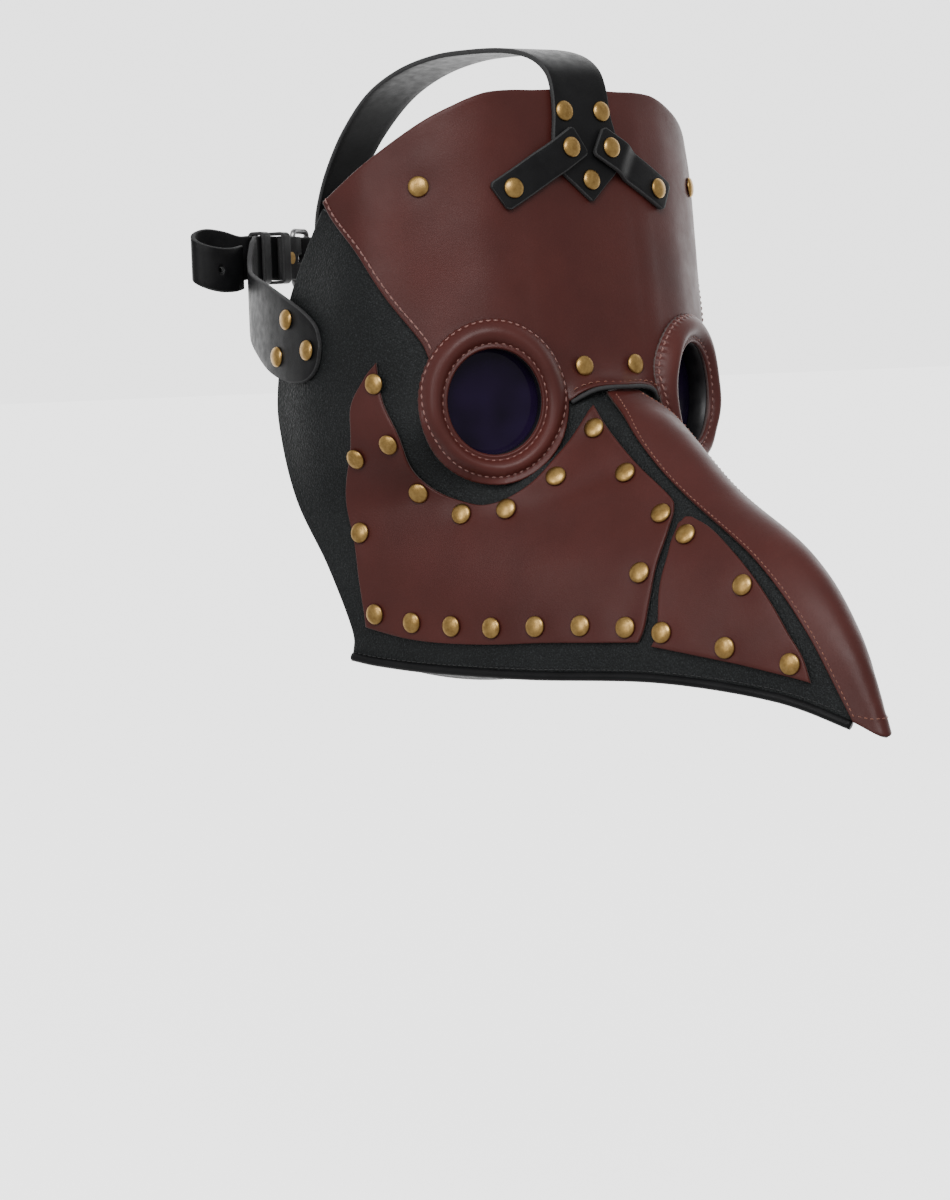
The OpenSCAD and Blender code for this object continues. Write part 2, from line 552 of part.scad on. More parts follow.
// ---- Buckle and keepers ----
frame_half = strap_w / 2 + 2.4;
frame_out = 0.85;
module buckle_frame() {
    rail = 1.2;
    color("#8c8f93") at_buckle() {
        cylinder(r = bar_r, h = 2 * frame_half, center = true, $fn = 32);
        translate([window_x, frame_out, 0]) cylinder(r = rail, h = 2 * frame_half, center = true, $fn = 32);
        for (side = [-1, 1]) translate([0, 0, side * frame_half]) {
            rotate([0, -90, 0]) rotate([atan2(frame_out, -window_x), 0, 0])
                cylinder(r = rail, h = norm([window_x, frame_out]), $fn = 32);
            sphere(r = rail, $fn = 32);
            translate([window_x, frame_out, 0]) sphere(r = rail, $fn = 32);
        }
    }
}
prong_r = 0.9;
prong_rise = 13.4;
module buckle_prong() {
    eye_r = bar_r + 0.06;
    half = 1.4;
    color("#8c8f93") at_buckle() difference() {
        union() {
            cylinder(r = bar_r + 1.1, h = 2 * half, center = true, $fn = 32);
            rotate([0, 0, -prong_rise]) translate([-14.4, 0, 0]) rotate([0, 90, 0])
                cylinder(r = prong_r, h = 13, $fn = 24);
        }
        cylinder(r = eye_r, h = 4 * half, center = true, $fn = 32);
    }
}
module keeper(x, width, low, high) {
    inner_h = strap_w + 0.8;
    leather = 1.3;
    color(black) at_buckle() difference() {
        translate([x - width / 2, low - leather, -inner_h / 2 - leather])
            cube([width, high - low + 2 * leather, inner_h + 2 * leather]);
        translate([x - width, low, -inner_h / 2]) cube([2 * width, high - low, inner_h]);
    }
}
module fixed_keeper() { keeper(13.5, 6, -3.75, 5.35); }
module sliding_keeper() { keeper(25.5, 6, -1.35, 3.75); }
buckle_rivet_x = 7;
module buckle_rivet_hole() {
    translate([buckle_rivet_x, 0, 0]) rotate([90, 0, 0])
        cylinder(d = post_d + 0.1, h = 5.4, center = true, $fn = 24);
}
module buckle_rivet() {
    head_d = 5;
    head_t = 0.5;
    outer_face = 2.32;
    inner_face = -3.1;
    color(brass_colour) at_buckle() translate([buckle_rivet_x, 0, 0]) rotate([-90, 0, 0]) {
        translate([0, 0, outer_face]) cylinder(d = head_d, h = head_t, $fn = 32);
        translate([0, 0, inner_face]) cylinder(d = post_d, h = outer_face - inner_face + 0.2, $fn = 32);
        translate([0, 0, inner_face - head_t]) cylinder(d = head_d, h = head_t, $fn = 32);
    }
}

// ---- Rivets in their groups ----
module left_cheek_rivets() {
    color(brass_colour) for (p = cheek_rivet_places) on_skin(p, cap_seat) rivet(panel_grip);
}
module right_cheek_rivets() { right() left_cheek_rivets(); }
module left_beak_rivets() {
    color(brass_colour) for (p = beak_rivet_places) on_skin(p, cap_seat) rivet(panel_grip);
}
module right_beak_rivets() { right() left_beak_rivets(); }
lining_t = 1.2;
brow_grip = cap_seat + lining_t + back_gap;
module brow_rivets() {
    color(brass_colour) for (side = [-1, 1], p = [temple_rivet, bridge_rivet])
        on_head(side * p.x, p.y, cap_seat) rivet(brow_grip);
}
strap_seat = strap_lift + strap_t + 0.1;
arm_seat = arm_lift + strap_t + 0.1;
module top_strap_rivets() {
    color(brass_colour) {
        for (side = [-1, 1]) {
            on_head(side * strap_rivets[0].x, strap_rivets[0].y, strap_seat) rivet(strap_seat + lining_t);
            on_head(side * strap_rivets[1].x, strap_rivets[1].y, arm_seat) rivet(arm_seat + lining_t);
            on_head(side * arm_rivet.x, arm_rivet.y, strap_seat) rivet(strap_seat + lining_t);
        }
        on_head(tab_rivet.x, tab_rivet.y, strap_seat) rivet(strap_seat + lining_t);
    }
}
module left_strap_rivets() {
    color(brass_colour) for (p = side_strap_rivet_places) on_skin(p, p.z) rivet(p.z + base_t + back_gap);
}
module right_strap_rivets() { right() left_strap_rivets(); }
module rear_rivet_at() { translate([0, 80.1, 77]) rotate([-90, 0, 0]) children(); }
module rear_loop_rivet() {
    color(brass_colour) rear_rivet_at() translate([0, 0, 3.9]) {
        rivet(7.7);
        rivet_back(7.7);
    }
}
module left_rivet_backs() {
    color(brass_colour) {
        for (p = concat(cheek_rivet_places, beak_rivet_places)) on_skin(p, cap_seat) rivet_back(panel_grip);
        for (p = side_strap_rivet_places) on_skin(p) rivet_back(base_t + back_gap);
    }
}
module right_rivet_backs() { right() left_rivet_backs(); }
module brow_rivet_backs() {
    color(brass_colour) {
        for (side = [-1, 1], p = [temple_rivet, bridge_rivet, strap_rivets[0], strap_rivets[1], arm_rivet])
            on_head(side * p.x, p.y) rivet_back(lining_t + back_gap);
        on_head(tab_rivet.x, tab_rivet.y) rivet_back(lining_t + back_gap);
    }
}

forehead_panel();
forehead_lining();
brow_welt();
right_base_panel();
left_base_panel();
right_cheek_panel();
left_cheek_panel();
right_beak_panel();
left_beak_panel();
beak_bridge_panel();
beak_underside();
right_edge_binding();
left_edge_binding();
right_eye_ring();
left_eye_ring();
right_lens_spacer();
left_lens_spacer();
right_lens();
left_lens();
right_lens_retainer();
left_lens_retainer();
top_strap();
right_strap_arm();
left_strap_arm();
right_side_strap();
left_side_strap();
buckle_frame();
buckle_prong();
fixed_keeper();
sliding_keeper();
brow_rivets();
top_strap_rivets();
right_cheek_rivets();
left_cheek_rivets();
right_beak_rivets();
left_beak_rivets();
right_strap_rivets();
left_strap_rivets();
rear_loop_rivet();
buckle_rivet();
right_rivet_backs();
left_rivet_backs();
brow_rivet_backs();
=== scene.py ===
"""Plague doctor mask. Sizes and places are millimetres of the row frame; MM turns them into metres."""
import math
import bmesh
import bpy
import numpy as np
from mathutils import Matrix, Vector


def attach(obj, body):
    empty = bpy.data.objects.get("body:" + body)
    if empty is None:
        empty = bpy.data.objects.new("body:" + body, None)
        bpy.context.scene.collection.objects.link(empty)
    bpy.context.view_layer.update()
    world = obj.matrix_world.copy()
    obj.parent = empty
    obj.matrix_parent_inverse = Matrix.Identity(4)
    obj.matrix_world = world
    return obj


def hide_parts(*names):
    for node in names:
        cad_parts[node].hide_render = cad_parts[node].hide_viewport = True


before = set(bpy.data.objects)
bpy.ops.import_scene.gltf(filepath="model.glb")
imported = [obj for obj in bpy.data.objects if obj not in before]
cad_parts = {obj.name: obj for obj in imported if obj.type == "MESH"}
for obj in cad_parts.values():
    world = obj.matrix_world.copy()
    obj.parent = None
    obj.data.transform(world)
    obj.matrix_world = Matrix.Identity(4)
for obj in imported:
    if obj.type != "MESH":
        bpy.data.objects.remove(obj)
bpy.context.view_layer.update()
MM = 0.001
SIDES = {"right": -1, "left": 1}


# ---- Camera ----
def make_camera():
    azimuth, elevation, roll = math.radians(37), math.radians(4), math.radians(-2)
    back = Vector((-math.sin(azimuth) * math.cos(elevation), -math.cos(azimuth) * math.cos(elevation),
                   math.sin(elevation)))
    level = Vector((math.cos(azimuth), -math.sin(azimuth), 0))
    upright = back.cross(level)
    right = level * math.cos(roll) + upright * math.sin(roll)
    up = upright * math.cos(roll) - level * math.sin(roll)
    camera = bpy.data.objects.new("camera", bpy.data.cameras.new("camera"))
    camera.data.sensor_fit = "VERTICAL"
    camera.data.sensor_height = 36
    camera.data.lens = 102.9
    place = back * 1.4 + right * 0.008 - up * 0.0816
    turn = Matrix((right, up, back)).transposed().to_4x4()
    camera.matrix_world = Matrix.Translation(place) @ turn
    bpy.context.scene.collection.objects.link(camera)
    bpy.context.scene.camera = camera


# ---- Materials ----
class Shader:
    """A Principled material with procedural inputs, in the object's own coordinates."""

    def __init__(self, name, **sockets):
        self.material = bpy.data.materials.new(name)
        self.material.use_nodes = True
        self.tree = self.material.node_tree
        self.main = self.tree.nodes["Principled BSDF"]
        self.place = self.tree.nodes.new("ShaderNodeTexCoord").outputs["Object"]
        for key, value in sockets.items():
            self.main.inputs[key.replace("_", " ")].default_value = value

    def link(self, output, socket):
        self.tree.links.new(output, socket)

    def noise(self, size, detail=4.0, rough=0.55):
        """Cloudy noise whose patches are about size millimetres across."""
        node = self.tree.nodes.new("ShaderNodeTexNoise")
        node.inputs["Scale"].default_value = 1 / (size * MM)
        node.inputs["Detail"].default_value = detail
        node.inputs["Roughness"].default_value = rough
        self.link(self.place, node.inputs["Vector"])
        return node.outputs[0]

    def cells(self, size, smooth=0.6):
        """Rounded pebbles about size millimetres across."""
        node = self.tree.nodes.new("ShaderNodeTexVoronoi")
        node.feature = "SMOOTH_F1"
        node.inputs["Scale"].default_value = 1 / (size * MM)
        node.inputs["Smoothness"].default_value = smooth
        self.link(self.place, node.inputs["Vector"])
        return node.outputs["Distance"]

    def spread(self, value, low, high, to_low=0.0, to_high=1.0):
        node = self.tree.nodes.new("ShaderNodeMapRange")
        for index, number in enumerate((low, high, to_low, to_high)):
            node.inputs[index + 1].default_value = number
        self.link(value, node.inputs[0])
        return node.outputs[0]

    def mix(self, factor, first, second):
        node = self.tree.nodes.new("ShaderNodeMix")
        node.data_type = "RGBA"
        self.link(factor, node.inputs[0])
        for index, colour in ((6, first), (7, second)):
            if isinstance(colour, tuple):
                node.inputs[index].default_value = (*colour, 1)
            else:
                self.link(colour, node.inputs[index])
        return node.outputs[2]

    def bump(self, height, depth, strength=1.0, under=None):
        """A bump of about depth millimetres, over another one."""
        node = self.tree.nodes.new("ShaderNodeBump")
        node.inputs["Strength"].default_value = strength
        node.inputs["Distance"].default_value = depth * MM
        self.link(height, node.inputs["Height"])
        if under is not None:
            self.link(under, node.inputs["Normal"])
        return node.outputs[0]

    def finish(self, colour=None, rough=None, normal=None):
        for output, socket in ((colour, "Base Color"), (rough, "Roughness"), (normal, "Normal")):
            if output is not None:
                self.link(output, self.main.inputs[socket])
        return self.material


def smooth_leather(name, light, dark, rough, coat, crease=0.12):
    s = Shader(name, Coat_Weight=coat, Coat_Roughness=0.3, Specular_IOR_Level=0.24)
    patches = s.spread(s.noise(38, 3), 0.35, 0.68)
    mottle = s.spread(s.noise(1.6, 5, 0.7), 0.3, 0.75)
    base = s.mix(patches, dark, light)
    colour = s.mix(s.spread(mottle, 0, 1, 0, 0.35), base, tuple(c * 0.72 for c in light))
    roughness = s.spread(s.noise(9, 5, 0.65), 0.3, 0.75, rough - 0.05, rough + 0.09)
    normal = s.bump(s.noise(7, 3), crease, 0.5)
    normal = s.bump(s.cells(0.55), 0.035, 0.7, normal)
    normal = s.bump(s.noise(0.28, 2), 0.012, 0.6, normal)
    return s.finish(colour, roughness, normal)


def pebbled_leather():
    s = Shader("black_pebbled_leather", Specular_IOR_Level=0.2)
    pebbles = s.cells(0.85, 0.35)
    # Painted highlight: light specks mixed into the colour stand in for sparkle off the pebbled grain.
    painted_sparkle = s.spread(s.noise(0.5, 3, 0.7), 0.52, 0.72)
    patches = s.spread(s.noise(30, 3), 0.35, 0.7)
    base = s.mix(patches, (0.007, 0.0078, 0.008), (0.0108, 0.012, 0.0122))
    colour = s.mix(painted_sparkle, base, (0.038, 0.043, 0.045))
    roughness = s.spread(s.noise(1.1, 4), 0.35, 0.7, 0.5, 0.74)
    normal = s.bump(s.noise(6, 3), 0.1, 0.4)
    normal = s.bump(pebbles, 0.26, 0.9, normal)
    normal = s.bump(s.noise(0.4, 2), 0.04, 0.8, normal)
    return s.finish(colour, roughness, normal)


def strap_leather():
    s = Shader("black_strap_leather", Coat_Weight=0.02, Coat_Roughness=0.4, Specular_IOR_Level=0.14)
    patches = s.spread(s.noise(16, 4), 0.3, 0.72)
    base = s.mix(patches, (0.006, 0.006, 0.0065), (0.0105, 0.0105, 0.0112))
    scuffs = s.spread(s.noise(2.2, 6, 0.75), 0.66, 0.8, 0, 0.6)
    colour = s.mix(scuffs, base, (0.04, 0.04, 0.042))
    roughness = s.spread(s.noise(4, 5), 0.3, 0.7, 0.34, 0.5)
    normal = s.bump(s.noise(3.2, 4), 0.07, 0.5)
    normal = s.bump(s.cells(0.42), 0.035, 0.8, normal)
    return s.finish(colour, roughness, normal)


def cut_edge(name, light, dark):
    """The bare layer that shows where leather is cut."""
    s = Shader(name, Specular_IOR_Level=0.3)
    fibres = s.spread(s.noise(0.5, 5, 0.7), 0.3, 0.7)
    colour = s.mix(fibres, dark, light)
    return s.finish(colour, s.spread(fibres, 0, 1, 0.6, 0.85), s.bump(s.noise(0.35, 3), 0.06, 0.8))


def suede(name, light, dark):
    """The rough flesh side inside the mask."""
    s = Shader(name, Specular_IOR_Level=0.2, Sheen_Weight=0.25, Sheen_Roughness=0.6)
    nap = s.spread(s.noise(2.4, 6, 0.7), 0.3, 0.7)
    normal = s.bump(s.noise(0.6, 5, 0.75), 0.16, 0.8)
    return s.finish(s.mix(nap, dark, light), s.spread(nap, 0, 1, 0.8, 0.95), normal)


def antique_brass():
    s = Shader("antique_brass", Metallic=1.0)
    patina = s.spread(s.noise(2.4, 5, 0.65), 0.36, 0.66)
    colour = s.mix(patina, (0.32, 0.19, 0.06), (0.52, 0.33, 0.115))
    roughness = s.spread(patina, 0, 1, 0.4, 0.3)
    return s.finish(colour, roughness, s.bump(s.noise(0.9, 4), 0.03, 0.5))


def nickel():
    s = Shader("nickel_plate", Metallic=1.0)
    wear = s.spread(s.noise(1.5, 5, 0.7), 0.4, 0.7)
    colour = s.mix(wear, (0.3, 0.3, 0.31), (0.56, 0.55, 0.54))
    return s.finish(colour, s.spread(wear, 0, 1, 0.4, 0.24), s.bump(s.noise(0.5, 3), 0.015, 0.5))


def thread(name, light, dark):
    s = Shader(name, Specular_IOR_Level=0.35, Sheen_Weight=0.3)
    twist = s.spread(s.noise(0.45, 3), 0.35, 0.65)
    colour, roughness = s.mix(twist, dark, light), s.spread(twist, 0, 1, 0.55, 0.75)
    return s.finish(colour, roughness, s.bump(s.noise(0.3, 3), 0.05))


def black_plastic():
    s = Shader("black_plastic", Specular_IOR_Level=0.5)
    cloud = s.spread(s.noise(5, 4), 0.3, 0.7)
    colour = s.mix(cloud, (0.005, 0.005, 0.006), (0.011, 0.011, 0.012))
    return s.finish(colour, s.spread(cloud, 0, 1, 0.38, 0.5), s.bump(s.noise(0.8, 3), 0.02, 0.6))


def dark_lens():
    s = Shader("dark_lens", Specular_IOR_Level=0.16)
    tint = s.spread(s.noise(26, 2), 0.3, 0.7)
    colour = s.mix(tint, (0.005, 0.0025, 0.01), (0.0145, 0.0065, 0.031))
    return s.finish(colour, s.spread(s.noise(8, 3), 0.3, 0.7, 0.04, 0.09), s.bump(s.noise(12, 2), 0.02, 0.3))


def floor_paint():
    s = Shader("floor_paint", Specular_IOR_Level=0.05, Emission_Color=(1, 1, 1, 1), Emission_Strength=2.0)
    cloud = s.spread(s.noise(120, 3), 0.3, 0.7)
    return s.finish(s.mix(cloud, (0.84, 0.84, 0.84), (0.86, 0.86, 0.86)), s.spread(cloud, 0, 1, 0.8, 0.9))


BROWN = smooth_leather("brown_leather", (0.081, 0.0185, 0.0150), (0.059, 0.0132, 0.0106), 0.43, 0.06)
PADDED = smooth_leather("padded_leather", (0.09, 0.021, 0.017), (0.065, 0.0148, 0.012), 0.41, 0.08, 0.2)
PEBBLED = pebbled_leather()
STRAP = strap_leather()
BROWN_EDGE = cut_edge("brown_cut_edge", (0.16, 0.12, 0.115), (0.07, 0.045, 0.042))
BLACK_EDGE = cut_edge("black_cut_edge", (0.055, 0.055, 0.056), (0.018, 0.018, 0.019))
FLESH = suede("flesh_side", (0.05, 0.036, 0.03), (0.022, 0.016, 0.014))
BRASS = antique_brass()
NICKEL = nickel()
PINK_THREAD = thread("pink_thread", (0.34, 0.17, 0.145), (0.15, 0.06, 0.052))
RUST_THREAD = thread("rust_thread", (0.33, 0.125, 0.075), (0.13, 0.042, 0.028))
PLASTIC = black_plastic()
LENS = dark_lens()


# ---- Mesh helpers ----
class Form:
    """Collects grids and tubes, and makes one smooth object of them."""

    def __init__(self):
        self.points = []
        self.faces = []
        self.slots = []
        self.count = 0

    def grid(self, P, closed_rows=False, closed_cols=False, slot=0, slots=None):
        """P has rows x columns points. slots may give the slot of each row of faces."""
        rows, cols = P.shape[:2]
        start = self.count
        self.points.append(P.reshape(-1, 3))
        self.count += rows * cols
        for r in range(rows if closed_rows else rows - 1):
            for c in range(cols if closed_cols else cols - 1):
                r2, c2 = (r + 1) % rows, (c + 1) % cols
                corners = ((r, c), (r, c2), (r2, c2), (r2, c))
                self.faces.append([start + i * cols + j for i, j in corners])
                self.slots.append(slot if slots is None else slots[r])
        return start

    def cap(self, indices, slot=0):
        self.faces.append(list(indices))
        self.slots.append(slot)

    def make(self, name, body, materials, replaces=(), record_slot=None, merge=0.0):
        mesh = bpy.data.meshes.new(name)
        points = np.concatenate(self.points) * MM
        mesh.from_pydata(points.tolist(), [], self.faces)
        mesh.polygons.foreach_set("material_index", self.slots)
        for m in materials:
            mesh.materials.append(m)
        shape = bmesh.new()
        shape.from_mesh(mesh)
        if merge:
            bmesh.ops.remove_doubles(shape, verts=shape.verts, dist=merge * MM)
        bmesh.ops.recalc_face_normals(shape, faces=shape.faces)
        for face in shape.faces:
            face.smooth = True
        shape.to_mesh(mesh)
        shape.free()
        obj = bpy.data.objects.new(name, mesh)
        bpy.context.scene.collection.objects.link(obj)
        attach(obj, body)
        if replaces:
            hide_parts(*replaces)
        return obj


def unit(v):
    return v / np.maximum(np.linalg.norm(v, axis=-1, keepdims=True), 1e-12)


def mirrored(P, side):
    return P * np.array([side, 1, 1])


def tube(form, path, radius, sides=12, closed=False, slot=0, flat=1.0, up=(0, 0, 1)):
    """A round tube along path, with closed ends."""
    path = np.asarray(path, float)
    if closed:
        tangent = unit(np.roll(path, -1, 0) - np.roll(path, 1, 0))
    else:
        tangent = unit(np.gradient(path, axis=0))
    across = unit(np.cross(np.asarray(up, float), tangent))
    over = np.cross(tangent, across)
    angle = np.linspace(0, 2 * math.pi, sides, endpoint=False)
    radius = np.broadcast_to(np.asarray(radius, float), (len(path),))
    ring = (np.cos(angle)[None, :, None] * across[:, None]
            + flat * np.sin(angle)[None, :, None] * over[:, None])
    P = path[:, None] + ring * radius[:, None, None]
    start = form.grid(P, closed_rows=closed, closed_cols=True, slot=slot)
    if not closed:
        form.cap([start + k for k in range(sides)], slot)
        form.cap([start + (len(path) - 1) * sides + k for k in range(sides)], slot)


def lathe(form, profile, place, axis, sides=28, turn=0.0):
    """A turned shape: profile has (radius, height) pairs along axis from place."""
    axis = unit(np.asarray(axis, float))
    first = unit(np.cross(axis, [0.3, 0.2, 0.93]))
    second = np.cross(axis, first)
    angle = np.linspace(0, 2 * math.pi, sides, endpoint=False) + turn
    ring = np.cos(angle)[:, None] * first + np.sin(angle)[:, None] * second
    P = np.array([[place + axis * h + spoke * r for spoke in ring] for r, h in profile])
    start = form.grid(P, closed_cols=True)
    form.cap([start + k for k in range(sides)])
    form.cap([start + (len(profile) - 1) * sides + k for k in range(sides)])


def curve(points, x):
    """A smooth curve through points at x from 0 to 1."""
    P = np.asarray(points, float)
    E = np.concatenate([[2 * P[0] - P[1]], P, [2 * P[-1] - P[-2]]])
    u = np.clip(np.asarray(x, float) * (len(P) - 1), 0, len(P) - 1)
    i = np.clip(np.floor(u), 0, len(P) - 2).astype(int)
    return sum(w[..., None] * E[i + k] for k, w in enumerate(weights(u - i)))


def weights(f):
    return (0.5 * (-f + 2 * f**2 - f**3), 0.5 * (2 - 5 * f**2 + 3 * f**3),
            0.5 * (f + 4 * f**2 - 3 * f**3), 0.5 * (-f**2 + f**3))


def resample(path, step):
    """Points at equal steps along a line."""
    path = np.asarray(path, float)
    length = np.concatenate([[0], np.cumsum(np.linalg.norm(np.diff(path, axis=0), axis=1))])
    count = max(2, int(round(length[-1] / step)) + 1)
    at = np.linspace(0, length[-1], count)
    return np.stack([np.interp(at, length, path[:, k]) for k in range(path.shape[1])], axis=1)


# ---- The mask's skin: the same surface as the CAD model's ----
HEAD_HALF_W, BROW_FORWARD, HEAD_DEPTH = 87, 100, 76


def forward_at(z):
    return BROW_FORWARD - 0.147 * z


def head_y(x, z):
    n = 2.2 + 0.004 * np.maximum(z, 0)
    w = np.minimum(np.abs(x) / HEAD_HALF_W, 1)
    return forward_at(z) - HEAD_DEPTH + HEAD_DEPTH * (1 - w**n) ** (1 / n)


def head_row(z, widths):
    return [[x, float(head_y(np.float64(x), z)), z] for x in widths]


# Rows from the forehead's top to the lower edge; each from the middle to the rear edge.
NET = np.array([
    head_row(122, [0, 12, 20, 31, 43, 55, 65, 73]),
    head_row(84, [0, 12, 20, 31, 48, 66, 78.5, 84.5]),
    head_row(42, [0, 12, 20, 31, 51, 72.5, 84]) + [[84.8, 7, 42]],
    head_row(8, [0, 12, 20, 31, 51, 73]) + [[86, 27, 8], [84.5, -4, 8]],
    [[0, 131, -10], [12, 124, -11], [18, 110, -11], [29, 97, -12],
     [51, 86.5, -12], [73, 70, -12], [85, 27, -12], [84.5, -3, -12]],
    [[0, 166, -36], [12, 156, -37], [20, 139, -37], [33, 115, -37],
     [52, 83, -37], [69, 50, -37], [80, 24, -37], [83.5, 5, -37]],
    [[0, 206, -59], [12, 196, -61], [21, 174, -62], [35, 142, -62],
     [54, 99, -62], [69, 60, -62], [77, 34, -62], [80.5, 20, -62]],
    [[0, 230, -87], [9.8, 221, -87], [20, 198, -87], [35, 160, -87],
     [54, 110, -87], [67, 67, -87], [74, 42, -87], [77, 30, -87]],
    [[0, 246, -121], [5.4, 237.5, -118], [17, 209, -108], [34, 164, -102],
     [53, 112, -102], [65, 70, -101], [72, 42, -99], [75.5, 28, -97]],
], float)


def extended(net):
    """One more row and column on each side, so that the curves reach the edges."""
    before = net[:, 1:2] * np.array([-1, 1, 1])
    wide = np.concatenate([before, net, 2 * net[:, -1:] - net[:, -2:-1]], axis=1)
    return np.concatenate([2 * wide[:1] - wide[1:2], wide, 2 * wide[-1:] - wide[-2:-1]], axis=0)


WIDE_NET = extended(NET)


def skin(s, t):
    """A point on the skin. s counts columns from the middle, and is negative on the wearer's right."""
    s, t = np.broadcast_arrays(np.asarray(s, float), np.asarray(t, float))
    side, a = np.where(s < 0, -1.0, 1.0), np.abs(s)
    i = np.clip(np.floor(a), 0, NET.shape[1] - 2).astype(int)
    j = np.clip(np.floor(t), 0, NET.shape[0] - 2).astype(int)
    P = 0
    for k, wk in enumerate(weights(t - j)):
        for m, wm in enumerate(weights(a - i)):
            P = P + (wk * wm)[..., None] * WIDE_NET[j + k, i + m]
    return np.stack([side * P[..., 0], -P[..., 1], P[..., 2]], axis=-1)


def skin_normal(s, t, step=0.02):
    s, t = np.asarray(s, float), np.asarray(t, float)
    down = skin(s, t + step) - skin(s, t - step)
    across = skin(s + step, t) - skin(s - step, t)
    return unit(np.cross(down, across))


def lifted(s, t, lift):
    return skin(s, t) + skin_normal(s, t) * np.asarray(lift)[..., None]


# ---- Outlines in net places, as in the CAD model: top, bottom, start, end ----
FOREHEAD = (
    [[0, 0.06], [1, 0.09], [2, 0.1], [2.8, 0.1], [3.4, 0.11], [3.9, 0.14], [4.5, 0.23], [5.3, 0.42],
     [6.2, 0.78], [7, 1.13]],
    [[0, 3.34], [0.9, 3.3], [1.75, 3.36], [2.3, 3.46], [2.62, 3.3], [2.78, 3], [3.05, 2.7], [3.5, 2.5],
     [4, 2.46], [4.4, 2.54], [4.72, 2.71]],
    [[0, 0.06], [0, 3.34]],
    [[7, 1.13], [6.1, 1.5], [5.5, 1.87], [5.05, 2.22], [4.8, 2.5], [4.72, 2.71]])
BASE = (
    [[7, 1.2], [6.2, 1.4], [5.5, 1.75], [5.02, 2.05], [4.74, 2.36], [4.64, 2.62], [4.7, 3], [4.76, 3.45],
     [4.62, 4], [4.3, 4.42], [3.95, 4.56], [3.55, 4.5], [3.2, 4.25], [2.8, 3.7], [2.3, 3.32], [1.7, 3.2],
     [0.85, 3.14], [0.3, 3.16]],
    [[7, 7.96], [5, 7.96], [3, 7.96], [0.4, 7.96]],
    [[7, 1.2], [7, 3.5], [7, 5.8], [7, 7.96]],
    [[0.3, 3.16], [0.6, 3.8], [0.66, 4.5], [0.66, 6], [0.66, 7.4], [0.4, 7.96]])
CHEEK = (
    [[5.34, 2.72], [5.22, 3.72], [5, 4.32], [4.6, 4.75], [4.17, 5.03], [3.88, 5.08], [3.48, 4.85], [3, 4.43],
     [2.4, 4.05], [1.8, 3.72], [1.43, 3.58]],
    [[6.19, 6.93], [5.7, 7.05], [5.26, 7.17], [4.8, 7.24], [4.3, 7.24], [3.86, 7.18], [3.4, 7.16],
     [3.1, 7.14]],
    [[5.34, 2.72], [5.46, 2.92], [5.6, 3.45], [5.65, 4.56], [5.73, 5.46], [5.96, 6.24], [6.19, 6.93]],
    [[1.43, 3.58], [1.57, 3.97], [1.51, 4.51], [1.38, 4.84], [1.36, 5.06], [1.53, 5.2], [2, 5.5], [2.5, 5.95],
     [2.84, 6.5], [3.1, 7.14]])
BEAK = (
    [[1.6, 5.37], [1.46, 5.32], [1.32, 5.33]],
    [[3, 7.22], [2.62, 7.38], [2.3, 7.48], [1.9, 7.57], [1.44, 7.6]],
    [[1.6, 5.37], [1.8, 5.45], [2.21, 5.75], [2.67, 6.33], [3, 7.22]],
    [[1.32, 5.33], [1.21, 5.5], [1.26, 5.85], [1.3, 6.24], [1.34, 6.63], [1.38, 6.96], [1.37, 7.25],
     [1.44, 7.6]])
BRIDGE = (
    [[0, 3.3], [0.3, 3.31], [0.6, 3.33]],
    [[0, 8.04], [0.5, 8.02], [1, 7.96]],
    [[0, 3.3], [0, 8.04]],
    [[0.6, 3.33], [0.84, 3.74], [1.02, 4.15], [1.05, 4.6], [1, 5.1], [1.02, 5.8], [1.04, 6.6], [1.05, 7.3],
     [1, 7.96]])

PANEL_LOW, PANEL_HIGH, BASE_T, LAYER_GAP = 0.5, 2.1, 1.6, 0.3
BROW_LIP = 2.6

CHEEK_RIVETS = [
    (5.34, 2.99), (5.23, 4.1), (5.55, 4.32), (5.57, 5.49), (4.67, 4.86), (4.21, 5.23), (3.73, 5.17),
    (3.08, 4.72), (1.94, 4.05), (1.92, 4.7), (1.87, 5.28), (2.77, 6.11),
    (5.8, 6.7), (5.15, 6.83), (4.66, 6.88), (4.26, 6.9), (3.86, 6.87), (3.5, 6.85), (3.15, 6.87)]
BEAK_RIVETS = [(1.79, 5.58), (1.57, 6.29), (2.85, 6.95), (2.3, 7.19), (1.6, 7.37)]
SIDE_STRAP_RIVETS = [(6.79, 2.21, 4), (6.88, 2.61, 3.25), (6.27, 2.55, 2.9)]
# On the forehead: half width and height.
TEMPLE_RIVET, BRIDGE_RIVET, ARM_RIVET, TAB_RIVET = (66, 82), (12.5, 12), (34.8, 80), (0, 83)
STRAP_RIVETS = [(9, 109.5), (9.7, 95)]


def between(edges, u, v):
    """A place between four edge curves."""
    top, bottom, first, last = edges
    corner = [np.array(p, float) for p in (top[0], top[-1], bottom[0], bottom[-1])]
    u, v = np.broadcast_arrays(np.asarray(u, float), np.asarray(v, float))
    U, V = u[..., None], v[..., None]
    P = (1 - V) * curve(top, u) + V * curve(bottom, u) + (1 - U) * curve(first, v) + U * curve(last, v)
    P = P - (1 - U) * (1 - V) * corner[0] - U * (1 - V) * corner[1]
    return P - (1 - U) * V * corner[2] - U * V * corner[3]


def head_point(x, z, lift):
    """A point on the forehead at half width x and height z, and the outward direction there."""
    x, z = np.broadcast_arrays(np.asarray(x, float), np.asarray(z, float))
    e = 0.5
    a = np.stack([np.full(x.shape, 2 * e), -(head_y(x + e, z) - head_y(x - e, z)), 0 * x], -1)
    b = np.stack([0 * x, -(head_y(x, z + e) - head_y(x, z - e)), np.full(x.shape, 2 * e)], -1)
    n = unit(np.cross(a, b))
    return np.stack([x, -head_y(x, z), z], -1) + n * np.asarray(lift)[..., None], n


